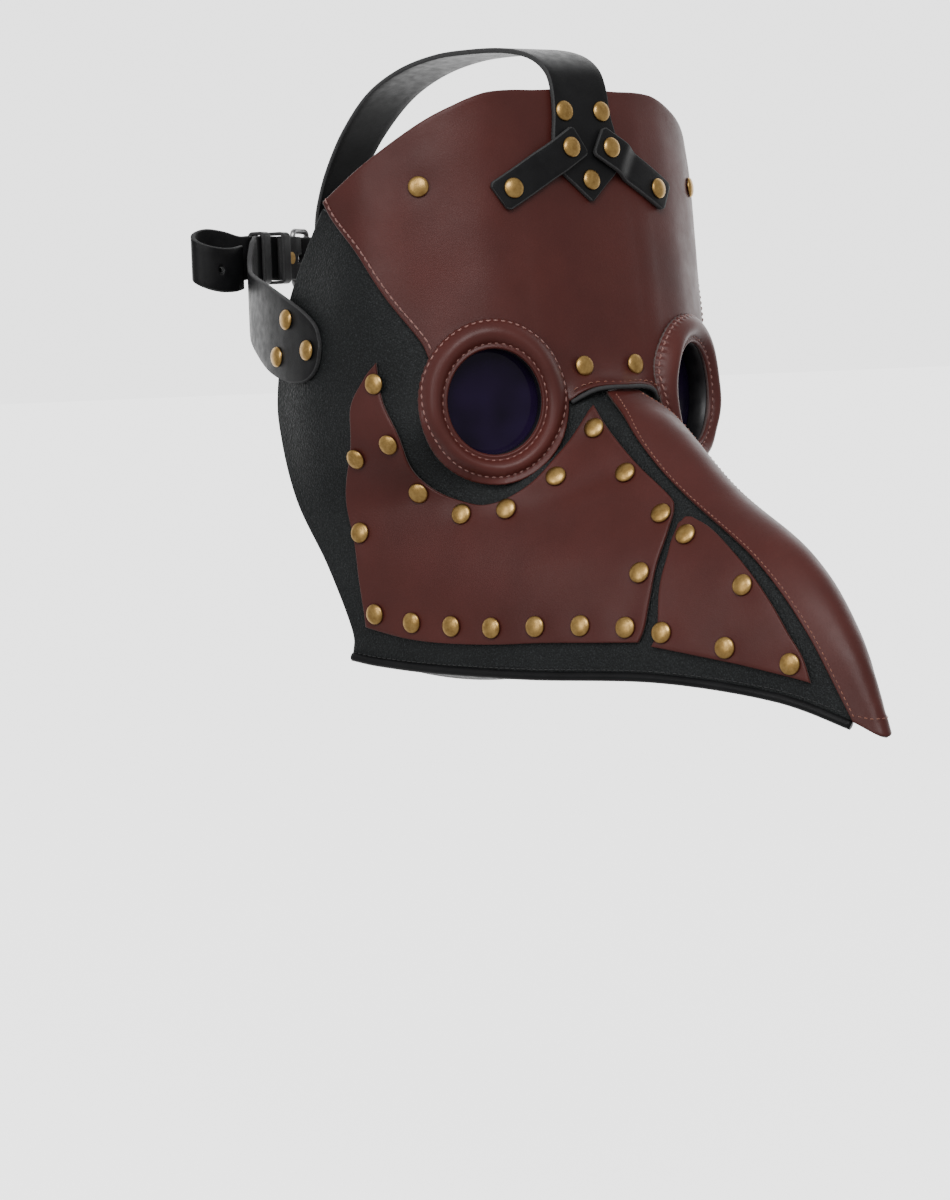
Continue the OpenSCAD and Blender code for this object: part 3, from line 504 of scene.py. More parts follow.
def waves(P, depth):
    """Slow unevenness of worn leather."""
    x, y, z = P[..., 0], P[..., 1], P[..., 2]
    a = np.sin(0.071 * x + 0.053 * z + 1.1) * np.sin(0.043 * y - 0.061 * z)
    b = np.sin(0.131 * y + 0.117 * z + 0.4) * np.sin(0.097 * x - 0.083 * z + 2.0)
    return depth * (0.65 * a + 0.35 * b)


def dimples(P, centres, depth, width=5.5):
    """How much the leather is pulled down round the rivets."""
    drop = np.zeros(P.shape[:-1])
    for c in centres:
        drop = drop + depth * np.exp(-np.sum((P - c) ** 2, axis=-1) / width**2)
    return -drop


def edge_steps(length, cell, radius):
    """Places from 0 to 1 along length, closer together within radius of both ends."""
    rim = np.array([0, 0.1, 0.3, 0.6, 1.0]) * radius / length
    inner = np.linspace(rim[-1], 1 - rim[-1], max(3, int((length - 2 * radius) / cell)))
    return np.concatenate([rim[:-1], inner, 1 - rim[:-1][::-1]])


def leather_sheet(name, nodes, places, low, high, centres=(), extra=None, radius=0.75, depth=0.55,
                  materials=(BROWN, BROWN_EDGE, FLESH), record_slot="brown_leather", wave=0.22, pucker=None):
    """A sheet with rolled edges. places is a grid of net places; extra is more lift at each of them."""
    S, T = places[..., 0], places[..., 1]
    P, N = skin(S, T), skin_normal(S, T)
    edges = (P[:, :1], P[:, -1:], P[:1], P[-1:])
    near = np.min([np.linalg.norm(P - edge, axis=-1) for edge in edges], axis=0)
    short = np.clip(radius - near, 0, radius)
    roll = radius - np.sqrt(radius**2 - short**2)
    inside = np.clip(near / 6, 0, 1)
    relief = dimples(P, centres, depth) + waves(P, wave) * inside
    if extra is not None:
        relief = relief + extra
    if pucker is not None:
        relief = relief + pucker(P, near)
    under = relief if extra is None else extra
    outer = P + N * (high - roll + np.maximum(relief, low - high + 0.5))[..., None]
    inner = P + N * (low + (0 * roll if extra is None else under))[..., None]
    form = Form()
    form.grid(outer, slot=0)
    form.grid(inner, slot=2)
    for edge in ((outer[0], inner[0]), (outer[-1], inner[-1]), (outer[:, 0], inner[:, 0]),
                 (outer[:, -1], inner[:, -1])):
        form.grid(np.stack(edge), slot=1)
    return form.make(name, "mask", materials, nodes, record_slot, merge=0.004)


def half_places(edges, side, width, height, cell=1.7, radius=0.75):
    u = edge_steps(width, cell, radius)
    v = edge_steps(height, cell, radius)
    U, V = np.meshgrid(u, v)
    places = between(edges, U, V)
    places[..., 0] *= side
    return places


def wide_places(edges, width, height, cell=1.7, radius=0.75, v_range=(0, 1), u_end=1.0):
    u = 2 * edge_steps(width, cell, radius) - 1
    v = v_range[0] + (v_range[1] - v_range[0]) * edge_steps(height, cell, radius)
    U, V = np.meshgrid(u * u_end, v)
    places = between(edges, np.abs(U), V)
    places[..., 0] *= np.where(U < 0, -1, 1)
    return places, V


# ---- Stitches ----
def stitches(name, path, normals, pitch, length, radius, lift=0.25, material=PINK_THREAD, sides=7):
    """A row of separate stitches along a line, each one dipping into the leather at both ends."""
    line = np.concatenate([np.asarray(path, float), np.asarray(normals, float)], axis=1)
    fine = resample(line, 0.25)
    step = max(1, int(round(pitch / 0.25)))
    half = max(1, int(round(length / 0.5)))
    form = Form()
    for k in range(half, len(fine) - half, step):
        piece = fine[k - half:k + half + 1:max(1, half // 3)]
        x = np.linspace(0, 1, len(piece))
        bow = np.sin(math.pi * x)
        at = piece[:, :3] + unit(piece[:, 3:]) * (lift * (2 * bow - 1))[:, None]
        tube(form, at, radius * (0.55 + 0.45 * bow), sides, up=unit(piece[0, 3:]))
    return form.make(name, "mask", [material], record_slot="padded_leather")


def outline_inset(edges, which, inset, side, lift, span=(0.02, 0.98)):
    """A line inside one edge of a panel, inset millimetres from it, with its normals."""
    x = np.linspace(span[0], span[1], 160)
    zero, one = np.zeros_like(x), np.ones_like(x)
    grid = {"top": (x, zero), "bottom": (x, one), "start": (zero, x), "end": (one, x)}[which]
    e = 0.02
    inward = {"top": (0, e), "bottom": (0, -e), "start": (e, 0), "end": (-e, 0)}[which]
    rim = between(edges, *grid)
    deep = between(edges, grid[0] + inward[0], grid[1] + inward[1])
    gap = np.linalg.norm(skin(rim[:, 0], rim[:, 1]) - skin(deep[:, 0], deep[:, 1]), axis=1)
    q = between(edges, grid[0] + inward[0] * inset / gap, grid[1] + inward[1] * inset / gap)
    s = q[:, 0] * side
    lift = np.broadcast_to(np.asarray(lift, float), s.shape)
    return lifted(s, q[:, 1], lift), skin_normal(s, q[:, 1])


# ---- Panels ----
def brow_raise(S, V):
    return BROW_LIP * np.maximum(0, (V - 0.8) / 0.2) ** 2 * np.maximum(0, 1 - (S / 2.6) ** 2)


def head_centres(places):
    return [head_point(side * x, z, 0)[0] for x, z in places for side in (-1, 1)]


def make_forehead():
    places, V = wide_places(FOREHEAD, 210, 118)
    centres = head_centres([TEMPLE_RIVET, BRIDGE_RIVET])
    leather_sheet("forehead_leather", ["forehead_panel"], places, PANEL_LOW, PANEL_HIGH, centres,
                  extra=brow_raise(places[..., 0], V), wave=0.3)
    lining, _ = wide_places(FOREHEAD, 180, 100, 3.0, v_range=(0.03, 0.86), u_end=0.84)
    leather_sheet("forehead_lining_leather", ["forehead_lining"], lining, -1.2, -0.1, wave=0.0,
                  materials=(FLESH, BLACK_EDGE, FLESH), record_slot="lining_leather")
    for side, sign in SIDES.items():
        path, normal = outline_inset(FOREHEAD, "end", 2.2, sign, PANEL_HIGH, (0.0, 0.97))
        stitches(side + "_temple_stitches", path, normal, 3.1, 2.3, 0.36)
        path, normal = outline_inset(FOREHEAD, "bottom", 2.6, sign, PANEL_HIGH + BROW_LIP * 0.7, (0.0, 0.24))
        stitches(side + "_brow_stitches", path, normal, 3.2, 2.1, 0.2, material=RUST_THREAD)


def make_brow_welt():
    reach, lift = 2.15, PANEL_LOW + BROW_LIP + (PANEL_HIGH - PANEL_LOW) / 2
    s = np.linspace(-reach, reach, 90)
    t = curve(FOREHEAD[1], np.abs(s) * 0.12)[:, 1]
    drop = 0.9 * (s / reach) ** 2 * BROW_LIP
    form = Form()
    tube(form, lifted(s, t + 0.045, lift - drop), 1.05, 14, flat=0.85)
    form.make("brow_welt_leather", "mask", [BLACK_EDGE], ["brow_welt"], "black_piping")


def fold_relief(P, near):
    """The soft creases beside the nose."""
    y, z = P[..., 1], P[..., 2]
    crease = np.exp(-(((z + 32) + 0.5 * (y + 120)) / 4.5) ** 2) * np.exp(-(((y + 118) / 14) ** 2))
    second = np.exp(-(((z + 46) - 0.35 * (y + 110)) / 5.5) ** 2) * np.exp(-(((y + 108) / 18) ** 2))
    return (-0.55 * crease - 0.35 * second) * np.clip(near / 7, 0, 1)


def make_half(side, sign):
    cheek = [skin(sign * s, t) for s, t in CHEEK_RIVETS]
    beak = [skin(sign * s, t) for s, t in BEAK_RIVETS]
    leather_sheet(side + "_cheek_leather", [side + "_cheek_panel"], half_places(CHEEK, sign, 112, 88),
                  PANEL_LOW, PANEL_HIGH, cheek, wave=0.32, pucker=fold_relief)
    leather_sheet(side + "_beak_leather", [side + "_beak_panel"], half_places(BEAK, sign, 34, 84, 1.4),
                  PANEL_LOW, PANEL_HIGH, beak, wave=0.25)
    leather_sheet(side + "_base_leather", [side + "_base_panel"], half_places(BASE, sign, 190, 130, 2.0),
                  -BASE_T, 0, wave=0.0, materials=(PEBBLED, BLACK_EDGE, FLESH),
                  record_slot="black_base_leather")


def bridge_creases(P, near):
    """Small puckers near the tip, where the leather is pulled together."""
    y = P[..., 1]
    tip = np.clip((-y - 225) / 20, 0, 1)
    pull = 0.6 * np.sin(0.9 * y + 0.8 * P[..., 0]) + 0.4 * np.sin(2.1 * y - 1.3 * P[..., 0])
    return 0.13 * tip * pull * np.clip(near / 4, 0, 1)


def make_bridge():
    places, _ = wide_places(BRIDGE, 34, 190, 1.3)
    leather_sheet("beak_bridge_leather", ["beak_bridge_panel"], places, PANEL_LOW, PANEL_HIGH,
                  wave=0.15, pucker=bridge_creases)
    for side, sign in SIDES.items():
        path, normal = outline_inset(BRIDGE, "end", 2.4, sign, PANEL_HIGH - 0.05, (0.03, 0.985))
        stitches(side + "_bridge_stitches", path, normal, 2.3, 1.5, 0.22, material=RUST_THREAD)
    s = np.linspace(-0.8, 0.8, 60)
    t = np.full(60, 7.86)
    stitches("tip_stitches", lifted(s, t, np.full(60, PANEL_HIGH)), skin_normal(s, t), 2.3, 1.5, 0.22,
             material=RUST_THREAD)


def make_underside():
    v = np.linspace(0, 1, 90)
    u = np.linspace(-1, 1, 41)
    inset = BASE_T + LAYER_GAP + 0.4
    edge = lifted(6.4 + (0.6 - 6.4) * v, np.full(90, 7.9), np.full(90, -inset))
    sag = 14 * (1 - v) ** 1.5
    P = np.zeros((90, 41, 3))
    P[..., 0] = edge[:, :1] * u
    P[..., 1] = edge[:, 1:2]
    P[..., 2] = edge[:, 2:3] - sag[:, None] * (1 - u**2)
    outer = P - np.array([0, 0, BASE_T])
    form = Form()
    form.grid(outer, slot=0)
    form.grid(P, slot=2)
    for edge in ((outer[0], P[0]), (outer[-1], P[-1]), (outer[:, 0], P[:, 0]), (outer[:, -1], P[:, -1])):
        form.grid(np.stack(edge), slot=1)
    form.make("underside_leather", "mask", [PEBBLED, BLACK_EDGE, FLESH], ["beak_underside"],
              "black_base_leather", merge=0.004)


def make_bindings():
    for side, sign in SIDES.items():
        s = np.linspace(6.98, 1.08, 200)
        path = lifted(sign * s, np.full(200, 7.98), np.full(200, -0.3)) - np.array([0, 0, 1.0])
        form = Form()
        tube(form, resample(path, 1.2), 1.8, 16)
        form.make(side + "_edge_piping", "mask", [STRAP], [side + "_edge_binding"], "black_piping")
        line = lifted(sign * s, np.full(200, 7.88), np.full(200, 0.05))
        stitches(side + "_hem_stitches", line, skin_normal(sign * s, np.full(200, 7.88)), 2.6, 1.9, 0.2,
                 material=BLACK_EDGE)


# ---- Eyes ----
EYE_X, EYE_Y, EYE_TURN = 49, -90.2, math.radians(28)
EYE_RX, EYE_RZ, RING_W, RING_RISE = 18, 20, 11, 1.05
RING_LOW, RING_HIGH, RING_BACK = -5, 1.5, -0.4
WALL_T, LENS_T, SPACER_DEPTH = 2.2, 1.5, 7.5
ACROSS = np.array([math.cos(EYE_TURN), math.sin(EYE_TURN), 0])
OUTWARD = np.array([math.sin(EYE_TURN), -math.cos(EYE_TURN), 0])
UPWARD = np.array([0.0, 0, 1])
EYE = np.array([EYE_X, EYE_Y, 0.0])


def at_eye(x, y, h, sign=1):
    x, y, h = np.broadcast_arrays(*(np.asarray(k, float) for k in (x, y, h)))
    P = EYE + x[..., None] * ACROSS + y[..., None] * UPWARD + h[..., None] * OUTWARD
    return mirrored(P, sign)


def in_eye(P):
    d = P - EYE
    return np.stack([d @ ACROSS, d @ UPWARD, d @ OUTWARD], -1)


def skin_height(x, y):
    """Height of the skin above the eye's plane under (x, y)."""
    s, t, step = 3.9 + 0.045 * x, 3.25 - 0.03 * y, 0.02
    for _ in range(5):
        p = in_eye(skin(s, t))
        ps = (in_eye(skin(s + step, t)) - p) / step
        pt = (in_eye(skin(s, t + step)) - p) / step
        det = ps[..., 0] * pt[..., 1] - ps[..., 1] * pt[..., 0]
        dx, dy = x - p[..., 0], y - p[..., 1]
        s = s + (dx * pt[..., 1] - dy * pt[..., 0]) / det
        t = t + (ps[..., 0] * dy - ps[..., 1] * dx) / det
    return in_eye(skin(s, t))[..., 2]


INNER_ROW, OUTER_STITCHES, INNER_STITCHES = 0.19, 62, 46


def outer_row(angle):
    """Where the outer row of stitches runs: at the edge above, further in below."""
    return 0.83 + 0.1 * np.clip(np.sin(angle) * 2.5 + 0.3, -1, 1)


LEVEL_PART = 0.24


def bend(share):
    """The ring lies level by the hole and bends down to the skin further out."""
    return (np.maximum(0, share - LEVEL_PART) / (1 - LEVEL_PART)) ** 2


def ring_drop(angle):
    x = (EYE_RX + RING_W) * np.cos(angle)
    y = (EYE_RZ + RING_W * RING_RISE) * np.sin(angle)
    return np.clip(skin_height(x, y) + PANEL_HIGH + LAYER_GAP, RING_LOW, RING_HIGH)


def ring_top(w, angle):
    """Height of the padded ring: two stitched valleys with a stuffed crown between them."""
    outer = outer_row(angle)
    x = np.clip((w - INNER_ROW) / (outer - INNER_ROW), 0, 1)
    crown = 2.75 * np.sin(math.pi * x) ** 0.62
    lip = 0.45 * np.exp(-(((w - 0.07) / 0.06) ** 2))
    pull_out = 0.5 - 0.5 * np.cos(OUTER_STITCHES * angle)
    pull_in = 0.5 - 0.5 * np.cos(INNER_STITCHES * angle)
    puckers = 0.36 * pull_out * np.exp(-(((w - outer) / 0.05) ** 2))
    puckers = puckers + 0.2 * pull_in * np.exp(-(((w - INNER_ROW) / 0.045) ** 2))
    ripple = 0.09 * x * (1 - x) * 4 * (np.cos(5 * angle) + np.cos(7 * angle + 1))
    round_off = np.clip((w - 0.93) / 0.07, 0, 1) ** 3 * 0.6 + np.clip((0.045 - w) / 0.045, 0, 1) ** 2 * 0.7
    return 1.25 + crown + lip + puckers + ripple - round_off


def ring_rim(w, angle):
    """Scallops along the outer edge, where the stitches pull it in."""
    pull = 0.5 + 0.5 * np.cos(OUTER_STITCHES * angle)
    near_edge = np.clip((w - 0.85) / 0.15, 0, 1)
    return w * RING_W - 0.28 * pull * near_edge * np.clip(np.sin(angle) * 2.5 + 0.5, 0.25, 1)


def on_oval(angle, wide, h, sign, rise=RING_RISE):
    """Places at this distance outside the eye hole's edge, and this height."""
    return at_eye((EYE_RX + wide) * np.cos(angle), (EYE_RZ + wide * rise) * np.sin(angle), h, sign)


def make_eye(side, sign):
    angle = np.linspace(0, 2 * math.pi, 496, endpoint=False)
    drop = ring_drop(angle)
    shares = np.concatenate([[0], np.linspace(0.012, 0.3, 15), np.linspace(0.34, 0.66, 9),
                             np.linspace(0.69, 1, 20)])
    rows = []
    for w in shares:
        wide = ring_rim(w, angle)
        h = ring_top(np.full_like(angle, w), angle) + drop * bend(w)
        rows.append(on_oval(angle, wide, h, sign))
    top = np.array(rows)
    below = []
    for w in (1.0, 0.6, LEVEL_PART, 0.0):
        wide = ring_rim(w, angle) if w == 1 else np.full_like(angle, w * RING_W)
        h = RING_BACK + drop * bend(w)
        below.append(on_oval(angle, wide, h, sign))
    section = np.concatenate([top, np.array(below)])
    slots = [0] * (len(top) - 1) + [1] + [0] * 3 + [1]
    form = Form()
    form.grid(section, closed_rows=True, closed_cols=True, slots=slots)
    ring = form.make(side + "_padded_ring", "mask", [PADDED, BROWN_EDGE], [side + "_eye_ring"],
                     "padded_leather")
    for row, count, length, radius in (("outer", OUTER_STITCHES, 2.3, 0.42),
                                       ("inner", INNER_STITCHES, 1.9, 0.34)):
        form = Form()
        for k in range(count):
            middle = 2 * math.pi * k / count
            half = 0.3 * 2 * math.pi / count * (length / 2.3 + 0.1)
            a = middle + np.linspace(-half, half, 7)
            w = outer_row(a) if row == "outer" else np.full(7, INNER_ROW)
            wide = ring_rim(w, a)
            bow = np.sin(np.linspace(0, math.pi, 7))
            valley = ring_top(w, np.full(7, middle)) + ring_drop(a) * bend(w)
            h = valley + 0.32 * bow - 0.12
            path = on_oval(a, wide, h, sign)
            tube(form, path, radius * (0.6 + 0.4 * bow), 7, up=mirrored(OUTWARD, sign))
        form.make(side + "_ring_stitches_" + row, "mask", [PINK_THREAD], record_slot="padded_leather")
    make_lens(side, sign, angle[::2])


def oval_tube(form, angle, sign, inner, outer, low, high, soft=0.35):
    """An oval tube between two offsets from the eye hole's edge."""
    corners = [(inner, low + soft), (inner + soft, low), (outer - soft, low), (outer, low + soft),
               (outer, high - soft), (outer - soft, high), (inner + soft, high), (inner, high - soft)]
    rows = [on_oval(angle, w, h, sign, rise=1) for w, h in corners]
    form.grid(np.array(rows), closed_rows=True, closed_cols=True)


def make_lens(side, sign, angle):
    spacer_top = RING_BACK - 0.05
    spacer_base = spacer_top - SPACER_DEPTH
    form = Form()
    oval_tube(form, angle, sign, 0, WALL_T, spacer_base, spacer_top)
    form.make(side + "_spacer_tube", "mask", [PLASTIC], [side + "_lens_spacer"], "black_plastic")
    lens_top = spacer_base - 0.05
    half_w, half_h = EYE_RX + WALL_T - 0.2, EYE_RZ + WALL_T - 0.2
    rows = []
    for k in np.linspace(0.001, 1, 22):
        dome = 0.9 * (1 - k**2) if k < 0.9 else 0.9 * 0.19 * (1 - k) / 0.1
        rows.append(at_eye(half_w * k * np.cos(angle), half_h * k * np.sin(angle), lens_top + dome, sign))
    back = [at_eye(half_w * k * np.cos(angle), half_h * k * np.sin(angle),
                   lens_top - LENS_T + 0.6 * (1 - k**2), sign) for k in (1, 0.66, 0.33, 0.001)]
    form = Form()
    start = form.grid(np.array(rows + back), closed_cols=True)
    n = len(angle)
    form.cap([start + k for k in range(n)])
    form.cap([start + (len(rows) + len(back) - 1) * n + k for k in range(n)])
    form.make(side + "_tinted_lens", "mask", [LENS], [side + "_lens"], "dark_lens")
    form = Form()
    top = spacer_base - LENS_T - 0.1
    oval_tube(form, angle, sign, 0, WALL_T, top - 2, top, 0.5)
    form.make(side + "_retainer_ring", "mask", [PLASTIC], [side + "_lens_retainer"], "black_plastic")


# ---- Straps ----
STRAP_T, STRAP_W, STRAP_Z = 2, 18, 61
STRAP_LIFT = PANEL_HIGH + LAYER_GAP
ARM_LIFT = STRAP_LIFT + STRAP_T + 2 * LAYER_GAP


def ribbon(form, centres, across, normals, half, thickness=STRAP_T, corner=0.6, cells=6, closed=False):
    """A strap with rounded edges: across is the direction over its width, half its half width."""
    half = np.broadcast_to(np.asarray(half, float), (len(centres),))
    t = thickness / 2
    turn = np.linspace(0, math.pi / 2, 4)
    sign_pairs = ((1, 1), (-1, 1), (-1, -1), (1, -1))
    section = []
    for k, (sx, sy) in enumerate(sign_pairs):
        arc = turn if k % 2 == 0 else turn[::-1]
        for a in arc:
            section.append((sx, -corner + corner * math.cos(a), sy * (t - corner + corner * math.sin(a)), 1))
        if k % 2 == 0:
            for x in np.linspace(1, -1, cells + 1)[1:-1] * sx:
                section.append((x, None, sy * t, 0))
    P = []
    for sx, inset, y, is_corner in section:
        w = sx * (half + inset) if is_corner else sx * (half - corner)
        P.append(centres + across * np.asarray(w)[:, None] + normals * y)
    P = np.array(P).transpose(1, 0, 2)
    slots_by_column = []
    start = form.count
    count = len(section)
    for k in range(count):
        a, b = section[k], section[(k + 1) % count]
        edge = a[3] and b[3] and a[0] == b[0]
        slots_by_column.append(1 if edge else 0)
    rows = len(centres)
    form.points.append(P.reshape(-1, 3))
    form.count += rows * count
    for r in range(rows if closed else rows - 1):
        r2 = (r + 1) % rows
        for c in range(count):
            c2 = (c + 1) % count
            form.faces.append([start + r * count + c, start + r * count + c2,
                               start + r2 * count + c2, start + r2 * count + c])
            form.slots.append(slots_by_column[c])
    if not closed:
        form.cap([start + k for k in range(count)], 1)
        form.cap([start + (rows - 1) * count + k for k in range(count)], 1)


def fine_curve(points, per=8):
    return curve(points, np.linspace(0, 1, (len(points) - 1) * per + 1))


def band(form, line, thickness=STRAP_T, corner=0.6):
    """A strap on edge along a plan line of [x, y, lower, upper] entries."""
    line = np.asarray(line, float)
    d = unit(np.gradient(line[:, :2], axis=0))
    normals = np.stack([d[:, 1], -d[:, 0], 0 * d[:, 0]], -1)
    centres = np.stack([line[:, 0], line[:, 1], (line[:, 2] + line[:, 3]) / 2], -1)
    across = np.tile([0.0, 0, 1], (len(line), 1))
    ribbon(form, centres, across, normals, (line[:, 3] - line[:, 2]) / 2, thickness, corner)


def on_brow(half_w, z):
    return [half_w, forward_at(z) + STRAP_LIFT + STRAP_T / 2, z]


TOP_STRAP = [on_brow(0.6, 75.5), on_brow(7.5, 81.5), on_brow(14.5, 88), on_brow(16, 97), on_brow(14, 109),
             [13.5, 85.6, 120], [13.5, 81.5, 127], [13.5, 72, 132.5], [13.5, 56, 136], [13.5, 34, 137.5],
             [13, 10, 137.5], [12.5, -15, 134], [12, -38, 126], [11, -58, 112], [10, -72, 97], [9, -80, 85],
             [9, -82.6, 76], [9, -82.8, 66], [9, -82.8, 54], [9, -82, 49.5], [9, -80, 47.6], [9, -77.8, 49.5],
             [9, -77, 54], [9, -77, 66], [9, -77.6, 80]]


def make_top_strap():
    line = fine_curve(TOP_STRAP)
    centres = np.stack([0 * line[:, 0], -line[:, 1], line[:, 2]], -1)
    d = unit(np.gradient(centres, axis=0))
    across = np.tile([1.0, 0, 0], (len(line), 1))
    form = Form()
    ribbon(form, centres, across, np.cross(across, d), np.maximum(line[:, 0], 0.65), cells=8)
    form.make("top_strap_leather", "mask", [STRAP, BLACK_EDGE], ["top_strap"], "strap_leather")
    for side, sign in SIDES.items():
        make_arm(side, sign)


def make_arm(side, sign):
    start, end = np.array(STRAP_RIVETS[1]), np.array(ARM_RIVET)
    along = unit(end - start)
    over = np.array([-along[1], along[0]])
    length = np.linalg.norm(end - start) + 12.5
    x = np.linspace(0, length, 60)
    mid = start - 6 * along + x[:, None] * along
    k = np.clip((mid[:, 0] - 15) / 7, 0, 1)
    lift = ARM_LIFT + (STRAP_LIFT - ARM_LIFT) * k * k * (3 - 2 * k) + STRAP_T / 2
    centre, normal = head_point(mid[:, 0], mid[:, 1], lift)
    side_point, _ = head_point(mid[:, 0] + over[0], mid[:, 1] + over[1], lift)
    trim = np.minimum(x, length - x)
    half = 6.5 - np.clip(1.5 - trim, 0, 1.5) ** 2 * 0.6
    form = Form()
    across = unit(side_point - centre)
    ribbon(form, mirrored(centre, sign), mirrored(across, sign), mirrored(normal, sign), half)
    form.make(side + "_arm_leather", "mask", [STRAP, BLACK_EDGE], [side + "_strap_arm"], "strap_leather")


RING_A, RING_B, RING_Y = 88.6, 98, -18
STRAP_END = [[-7.5, 22, 26], [-6.5, 16, 31], [-4, 11.5, 35], [0, 9.5, 39], [7, 10.5, 44], [16, 15, 49],
             [28, 24, 53.5], [36, 29.5, 57.5], [41, 35.5, 62.5], [46, 44.5, 67.5]]


def plan_point(angle, lift=0.0):
    a = math.radians(angle)
    return (RING_A + lift) * math.cos(a), RING_Y + (RING_B + lift) * math.sin(a)


def settle(angle):
    return -0.6 * min(1, max(0, (30 - angle) / 16))


def end_line(sign):
    entries = []
    for angle, low, high in STRAP_END:
        x, y = plan_point(angle, settle(angle))
        entries.append([sign * x, y, low, high])
    return entries


BUCKLE = np.array([-28.6, 71.4, STRAP_Z])
BUCKLE_TURN = math.radians(206)
TAILWARD = np.array([math.cos(BUCKLE_TURN), math.sin(BUCKLE_TURN), 0])
AWAY = np.array([math.sin(BUCKLE_TURN), -math.cos(BUCKLE_TURN), 0])
BAR_R = 1.2
FOLD_R = BAR_R + LAYER_GAP + STRAP_T / 2
LOW, HIGH = STRAP_Z - STRAP_W / 2, STRAP_Z + STRAP_W / 2


def at_buckle(x, y, z=0.0):
    x, y, z = np.broadcast_arrays(*(np.asarray(k, float) for k in (x, y, z)))
    return BUCKLE + x[..., None] * TAILWARD + y[..., None] * AWAY + z[..., None] * UPWARD


def level(x, y):
    p = at_buckle(x, y)
    return [p[0], p[1], LOW, HIGH]


TAIL_AT_BUCKLE = [(-24, -1.9), (-18, -2), (-13, -1.85), (-9, -1.7), (-5.2, 1.1), (-1.6, 4.6), (3, 5),
                  (8, 4.7), (13, 3.5), (18, 2.6), (24, 2.4), (30, 2.4), (34, 2.4)]
TAIL_LOOP = [[-64, 59, 52, 70], [-71, 59.6, 54, 72], [-79, 60, 55, 73], [-85, 59, 53.5, 71.5],
             [-87.5, 55.5, 51, 69], [-85, 51.5, 48.5, 66.5], [-79, 50, 47, 65], [-72, 51, 47, 65],
             [-66, 54.2, 48, 66]]


def cutter(place, axis, radius, length):
    """A cylinder for cutting a punched hole."""
    form = Form()
    lathe(form, [(radius, -length / 2), (radius, length / 2)], np.asarray(place, float), axis, 24)
    obj = form.make("cutter", "mask", [BLACK_EDGE])
    return obj


def block(corners):
    form = Form()
    P = np.array(corners, float)
    start = form.grid(P, closed_cols=True)
    form.cap([start + k for k in range(4)])
    form.cap([start + 4 + k for k in range(4)])
    return form.make("cutter", "mask", [BLACK_EDGE])


def cut(obj, cutters):
    for tool in cutters:
        step = obj.modifiers.new("hole", "BOOLEAN")
        step.object = tool
        step.solver = "EXACT"
    bpy.context.view_layer.update()
    done = obj.evaluated_get(bpy.context.evaluated_depsgraph_get())
    mesh = bpy.data.meshes.new_from_object(done)
    obj.modifiers.clear()
    obj.data = mesh
    for tool in cutters:
        bpy.data.objects.remove(tool)


def side_block(x_range, y_range, half_z, slant=0.0):
    (x0, x1), (y0, y1) = x_range, y_range
    low = [at_buckle(x, y, -half_z) for x, y in ((x0, y0), (x1, y0), (x1 + slant, y1), (x0 + slant, y1))]
    high = [p + np.array([0, 0, 2 * half_z]) for p in low]
    return block([low, high])


def make_side_straps():
    run = [level(*q) for q in ((32, 0), (26, 0), (17, 0.1), (10, 0.9), (5, 2), (0, FOLD_R))]
    fold = [level(-FOLD_R * math.cos(math.radians(a)), FOLD_R * math.sin(math.radians(a)))
            for a in range(75, -91, -15)]
    flap = [level(*q) for q in ((3, -FOLD_R), (8, -2), (15, -2.2))]
    form = Form()
    band(form, np.concatenate([fine_curve(end_line(-1)), fine_curve(run)[1:], fold, fine_curve(flap)]))
    right = form.make("right_side_strap_leather", "mask", [STRAP, BLACK_EDGE], ["right_side_strap"],
                      "strap_leather")
    cut(right, [side_block((-7, 2), (-6, 6), 1.8)])
    back = []
    for angle in range(52, 95, 6):
        x, y = plan_point(angle)
        back.append([x, y, LOW, HIGH])
    buckle = [level(*q) for q in TAIL_AT_BUCKLE]
    form = Form()
    whole = end_line(1) + back + buckle + TAIL_LOOP
    band(form, fine_curve(whole, 7))
    left = form.make("left_side_strap_leather", "mask", [STRAP, BLACK_EDGE], ["left_side_strap"],
                      "strap_leather")
    cut(left, [cutter((-79, 60, 64), (0, 1, 0), 1.2, 6), cutter((-79, 50, 56), (0, 1, 0), 1.2, 6),
               side_block((-8, -3.4), (-2.5, 5), 1.3, 3.0)])


# ---- Buckle and keepers ----
FRAME_HALF, FRAME_OUT, WINDOW_X = STRAP_W / 2 + 2.4, 0.85, -13


def make_buckle():
    corner, rail = 2.2, 1.2
    spots = []
    for x, z, start in ((0, 1, 0), (WINDOW_X, 1, 90), (WINDOW_X, -1, 180), (0, -1, 270)):
        cx = x - corner if x == 0 else x + corner
        for a in np.radians(np.linspace(start, start + 90, 7)):
            spots.append((cx + corner * math.cos(a), z * (FRAME_HALF - corner) + corner * math.sin(a)))
    spots = np.array(spots)
    slope = FRAME_OUT / WINDOW_X
    form = Form()
    tube(form, at_buckle(spots[:, 0], spots[:, 0] * slope, spots[:, 1]), rail, 16, closed=True, up=AWAY)
    form.make("buckle_wire_frame", "buckle_frame", [NICKEL], ["buckle_frame"], "buckle_steel")
    rise = math.radians(13.4)
    length = np.linspace(1.9, 14.4, 24)
    straight = at_buckle(-length * math.cos(rise), length * math.sin(rise))
    around = np.radians(np.linspace(168, -100, 26))
    curl = at_buckle(np.cos(around) * 1.95, np.sin(around) * 1.95)
    form = Form()
    path = np.concatenate([straight[::-1], curl])
    radius = np.concatenate([np.linspace(0.62, 0.9, len(straight)), np.full(len(curl), 0.7)])
    tube(form, path, radius, 12, up=(0, 0, 1))
    form.make("buckle_wire_prong", "buckle_prong", [NICKEL], ["buckle_prong"], "buckle_steel")


